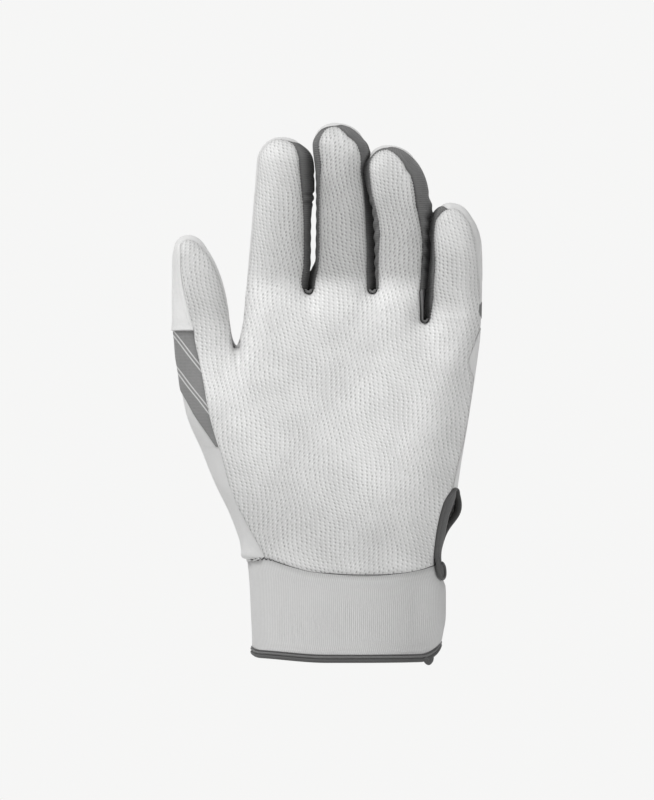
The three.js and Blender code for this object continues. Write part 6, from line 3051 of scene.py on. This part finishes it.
# Camera, light and the order of work.
@dataclass(frozen=True)
class Studio:
    """Camera, soft lights, pale floor and background.

    Attributes:
        distance: Distance from the camera to the glove's middle plane, in metres.
        view_height: Height of the picture at that plane.
        aim: Place across and height at the middle of the picture.
        floor: Height of the floor.
        background: Level of grey of the background.
        dome: Strength of the light from all round.
    """

    distance: float = 3.0
    view_height: float = 0.34
    aim: tuple = (-0.00765, 0.1109)
    floor: float = -0.12
    background: float = 246.0
    dome: float = 0.22

    def build(self) -> None:
        """Sets up the whole studio."""
        self.camera()
        self.world()
        self.ground()
        self.lamp("key_light", (-1.0, -0.9, 2.1), 0.8, 39.5)
        self.lamp("fill_light", (1.2, -1.4, 0.4), 1.2, 9.0)
        self.lamp("side_light", (-1.8, -0.6, 0.7), 0.8, 4.0)
        bpy.context.scene.view_settings.view_transform = "Standard"

    def camera(self) -> None:
        """Adds the camera."""
        sensor = 36.0
        bpy.ops.object.camera_add(
            location=(self.aim[0], -self.distance, self.aim[1]), rotation=(math.pi / 2.0, 0.0, 0.0)
        )
        camera = bpy.context.object
        camera.name = "photo_camera"
        camera.data.sensor_width = sensor
        camera.data.lens = sensor * self.distance / self.view_height
        camera.data.clip_start = 0.01
        bpy.context.scene.camera = camera

    def world(self) -> None:
        """Lights the scene softly from all round and gives the camera an even background."""
        world = bpy.data.worlds.new("studio")
        world.use_nodes = True
        bpy.context.scene.world = world
        graph = Graph(world.node_tree)
        shown = self.seen(graph)
        light = world.node_tree.nodes["Background"]
        light.inputs["Color"].default_value = (1.0, 1.0, 1.0, 1.0)
        light.inputs["Strength"].default_value = self.dome
        plain = graph.add("ShaderNodeBackground", {"Color": grey(self.background), "Strength": 1.0})
        mixed = graph.add("ShaderNodeMixShader", {0: shown, 1: light.outputs[0], 2: plain.outputs[0]})
        graph.feed(world.node_tree.nodes["World Output"].inputs["Surface"], mixed.outputs[0])

    @staticmethod
    def seen(graph: Graph) -> Socket:
        """1 for rays from the camera, from glossy surfaces and through glass.

        Args:
            graph: The graph to add to.

        Returns:
            The mask's socket.
        """
        rays = graph.add("ShaderNodeLightPath").outputs
        glossy = graph.math("MAXIMUM", rays["Is Camera Ray"], rays["Is Glossy Ray"])
        return graph.math("MAXIMUM", glossy, rays["Is Transmission Ray"])

    def ground(self) -> None:
        """Adds the pale floor, which keeps the glove's shadow."""
        bpy.ops.object.select_all(action="DESELECT")
        bpy.ops.mesh.primitive_grid_add(
            x_subdivisions=8, y_subdivisions=8, size=40.0, location=(0.0, 0.0, self.floor)
        )
        floor = bpy.context.object
        floor.name = "pale_floor"
        material = bpy.data.materials.new("pale_floor")
        material.use_nodes = True
        graph = Graph(material.node_tree)
        shader = material.node_tree.nodes["Principled BSDF"]
        shader.inputs["Base Color"].default_value = grey(self.background)
        shader.inputs["Roughness"].default_value = 0.9
        glow = graph.add("ShaderNodeEmission", {"Color": grey(self.background), "Strength": 1.0})
        place = graph.add("ShaderNodeTexCoord").outputs["Object"]
        away = graph.add("ShaderNodeVectorMath", {0: place}, operation="LENGTH").outputs["Value"]
        share = graph.math("MULTIPLY", self.seen(graph), graph.ramp(away, 0.08, 0.36, 0.4, 1.0))
        mixed = graph.add("ShaderNodeMixShader", {0: share, 1: shader.outputs[0], 2: glow.outputs[0]})
        graph.feed(material.node_tree.nodes["Material Output"].inputs["Surface"], mixed.outputs[0])
        floor.data.materials.append(material)

    def lamp(self, name: str, place: tuple, size: float, power: float) -> None:
        """Adds a soft square lamp that faces the glove.

        Args:
            name: Name of the lamp.
            place: Its place in metres.
            size: Its side in metres.
            power: Its power in watts.
        """
        away = np.array(place) - np.array([self.aim[0], 0.0, self.aim[1]])
        flat = math.hypot(away[0], away[1])
        turn = (math.atan2(flat, away[2]), 0.0, math.atan2(away[0], -away[1]))
        bpy.ops.object.light_add(type="AREA", location=place, rotation=turn)
        lamp = bpy.context.object
        lamp.name = name
        lamp.data.shape = "SQUARE"
        lamp.data.size = size
        lamp.data.energy = power


def finger_pieces(form: GloveForm) -> tuple:
    """The four fingers, with the swellings of their walls.

    Args:
        form: The glove's form.

    Returns:
        The fingers, from the index to the little finger.
    """
    index, middle, ring, little = form.fingers
    index_right = Bulge(False, -6.0, HeightCurve((
        (158, 0.9), (168, 0.6), (190, 0.5), (196, 1.7), (209, 2.0), (214, 1.5), (219, 0.3), (222, 0.0),
    )))
    middle_left = Bulge(True, 12.0, HeightCurve(((158, 2.6), (164, 2.6), (170, 0.0))))
    middle_right = Bulge(False, 14.0, HeightCurve((
        (158, 3.9), (196, 3.9), (204, 2.5), (210, 2.3), (216, 1.6), (221, 0.8), (225, 0.3), (228, 0.0),
    )))
    ring_left = Bulge(
        True, 4.0,
        HeightCurve((
            (158, -0.4), (165, -0.5), (190, -0.4), (197, 0.8), (204, 1.7), (212, 1.7), (217, 0.8), (219, 0.0)
        )),
    )
    ring_right = Bulge(False, 14.0, HeightCurve(((158, 2.9), (185, 2.9), (191, 2.4), (198, 0.0))))
    little_left = Bulge(
        True, 12.0,
        HeightCurve((
            (145.5, 2.8), (157, 2.6), (168, 1.2), (176, 0.9), (181, 1.8), (188, 1.8), (192, 0.6),
            (193.8, 0.0),
        )),
    )
    ring_lean = HeightCurve(((180, 0.0), (190, 1.2), (200, 3.0), (208, 3.2), (214, 1.6), (218.5, 0.0)))
    little_lean = HeightCurve(((158, 0.0), (170, 1.0), (178, 2.2), (185, 2.2), (190, 0.9), (193.8, 0.0)))
    # hollows set the painted shade on each finger's front leather.
    return (
        FingerPieces(index, form, bulges=(index_right,), shade_tops=(0.0, 226.0), shade_starts=(-0.62, -0.8),
                     hollows=(0.0, 1.5), tip_swell=0.0),
        FingerPieces(middle, form, bulges=(middle_left, middle_right), shade_tops=(216.0, 214.0),
                     shade_starts=(-0.62, -0.2), hollows=(2.5, 0.8)),
        FingerPieces(ring, form, bulges=(ring_left, ring_right), shade_tops=(224.0, 196.0),
                     shade_starts=(0.0, -0.62), hollows=(1.5, 1.0), ripple=0.3, rims=(0.2, 1.0),
                     lean=ring_lean),
        FingerPieces(little, form, taper=1.5, bulges=(little_left,), shade_tops=(198.0, 0.0),
                     shade_starts=(0.0, 0.0), hollows=(1.3, 0.0), lean=little_lean),
    )


def main() -> None:
    """Builds the glove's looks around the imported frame."""
    logging.basicConfig(level=logging.INFO, format="%(message)s")
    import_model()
    Studio().build()
    form = GloveForm()
    tailor = Tailor(Skin(form), Wardrobe())
    fingers = finger_pieces(form)
    # The thumb's front leather gets painted shade too.
    thumb = ThumbPieces(form.thumb, form, hollows=(0.7, 0.7))
    webs = tuple(Web(form, k) for k in range(3))
    thumb_side = ThumbSide(form)
    slit = Slit(form)
    hand = HandPanels(form, fingers, thumb, webs, thumb_side, slit)
    for part in (*fingers, thumb, *webs, thumb_side, hand, Cuff(form), slit, Strap(form)):
        part.build(tailor)
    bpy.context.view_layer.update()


if __name__ == "__main__":
    main()
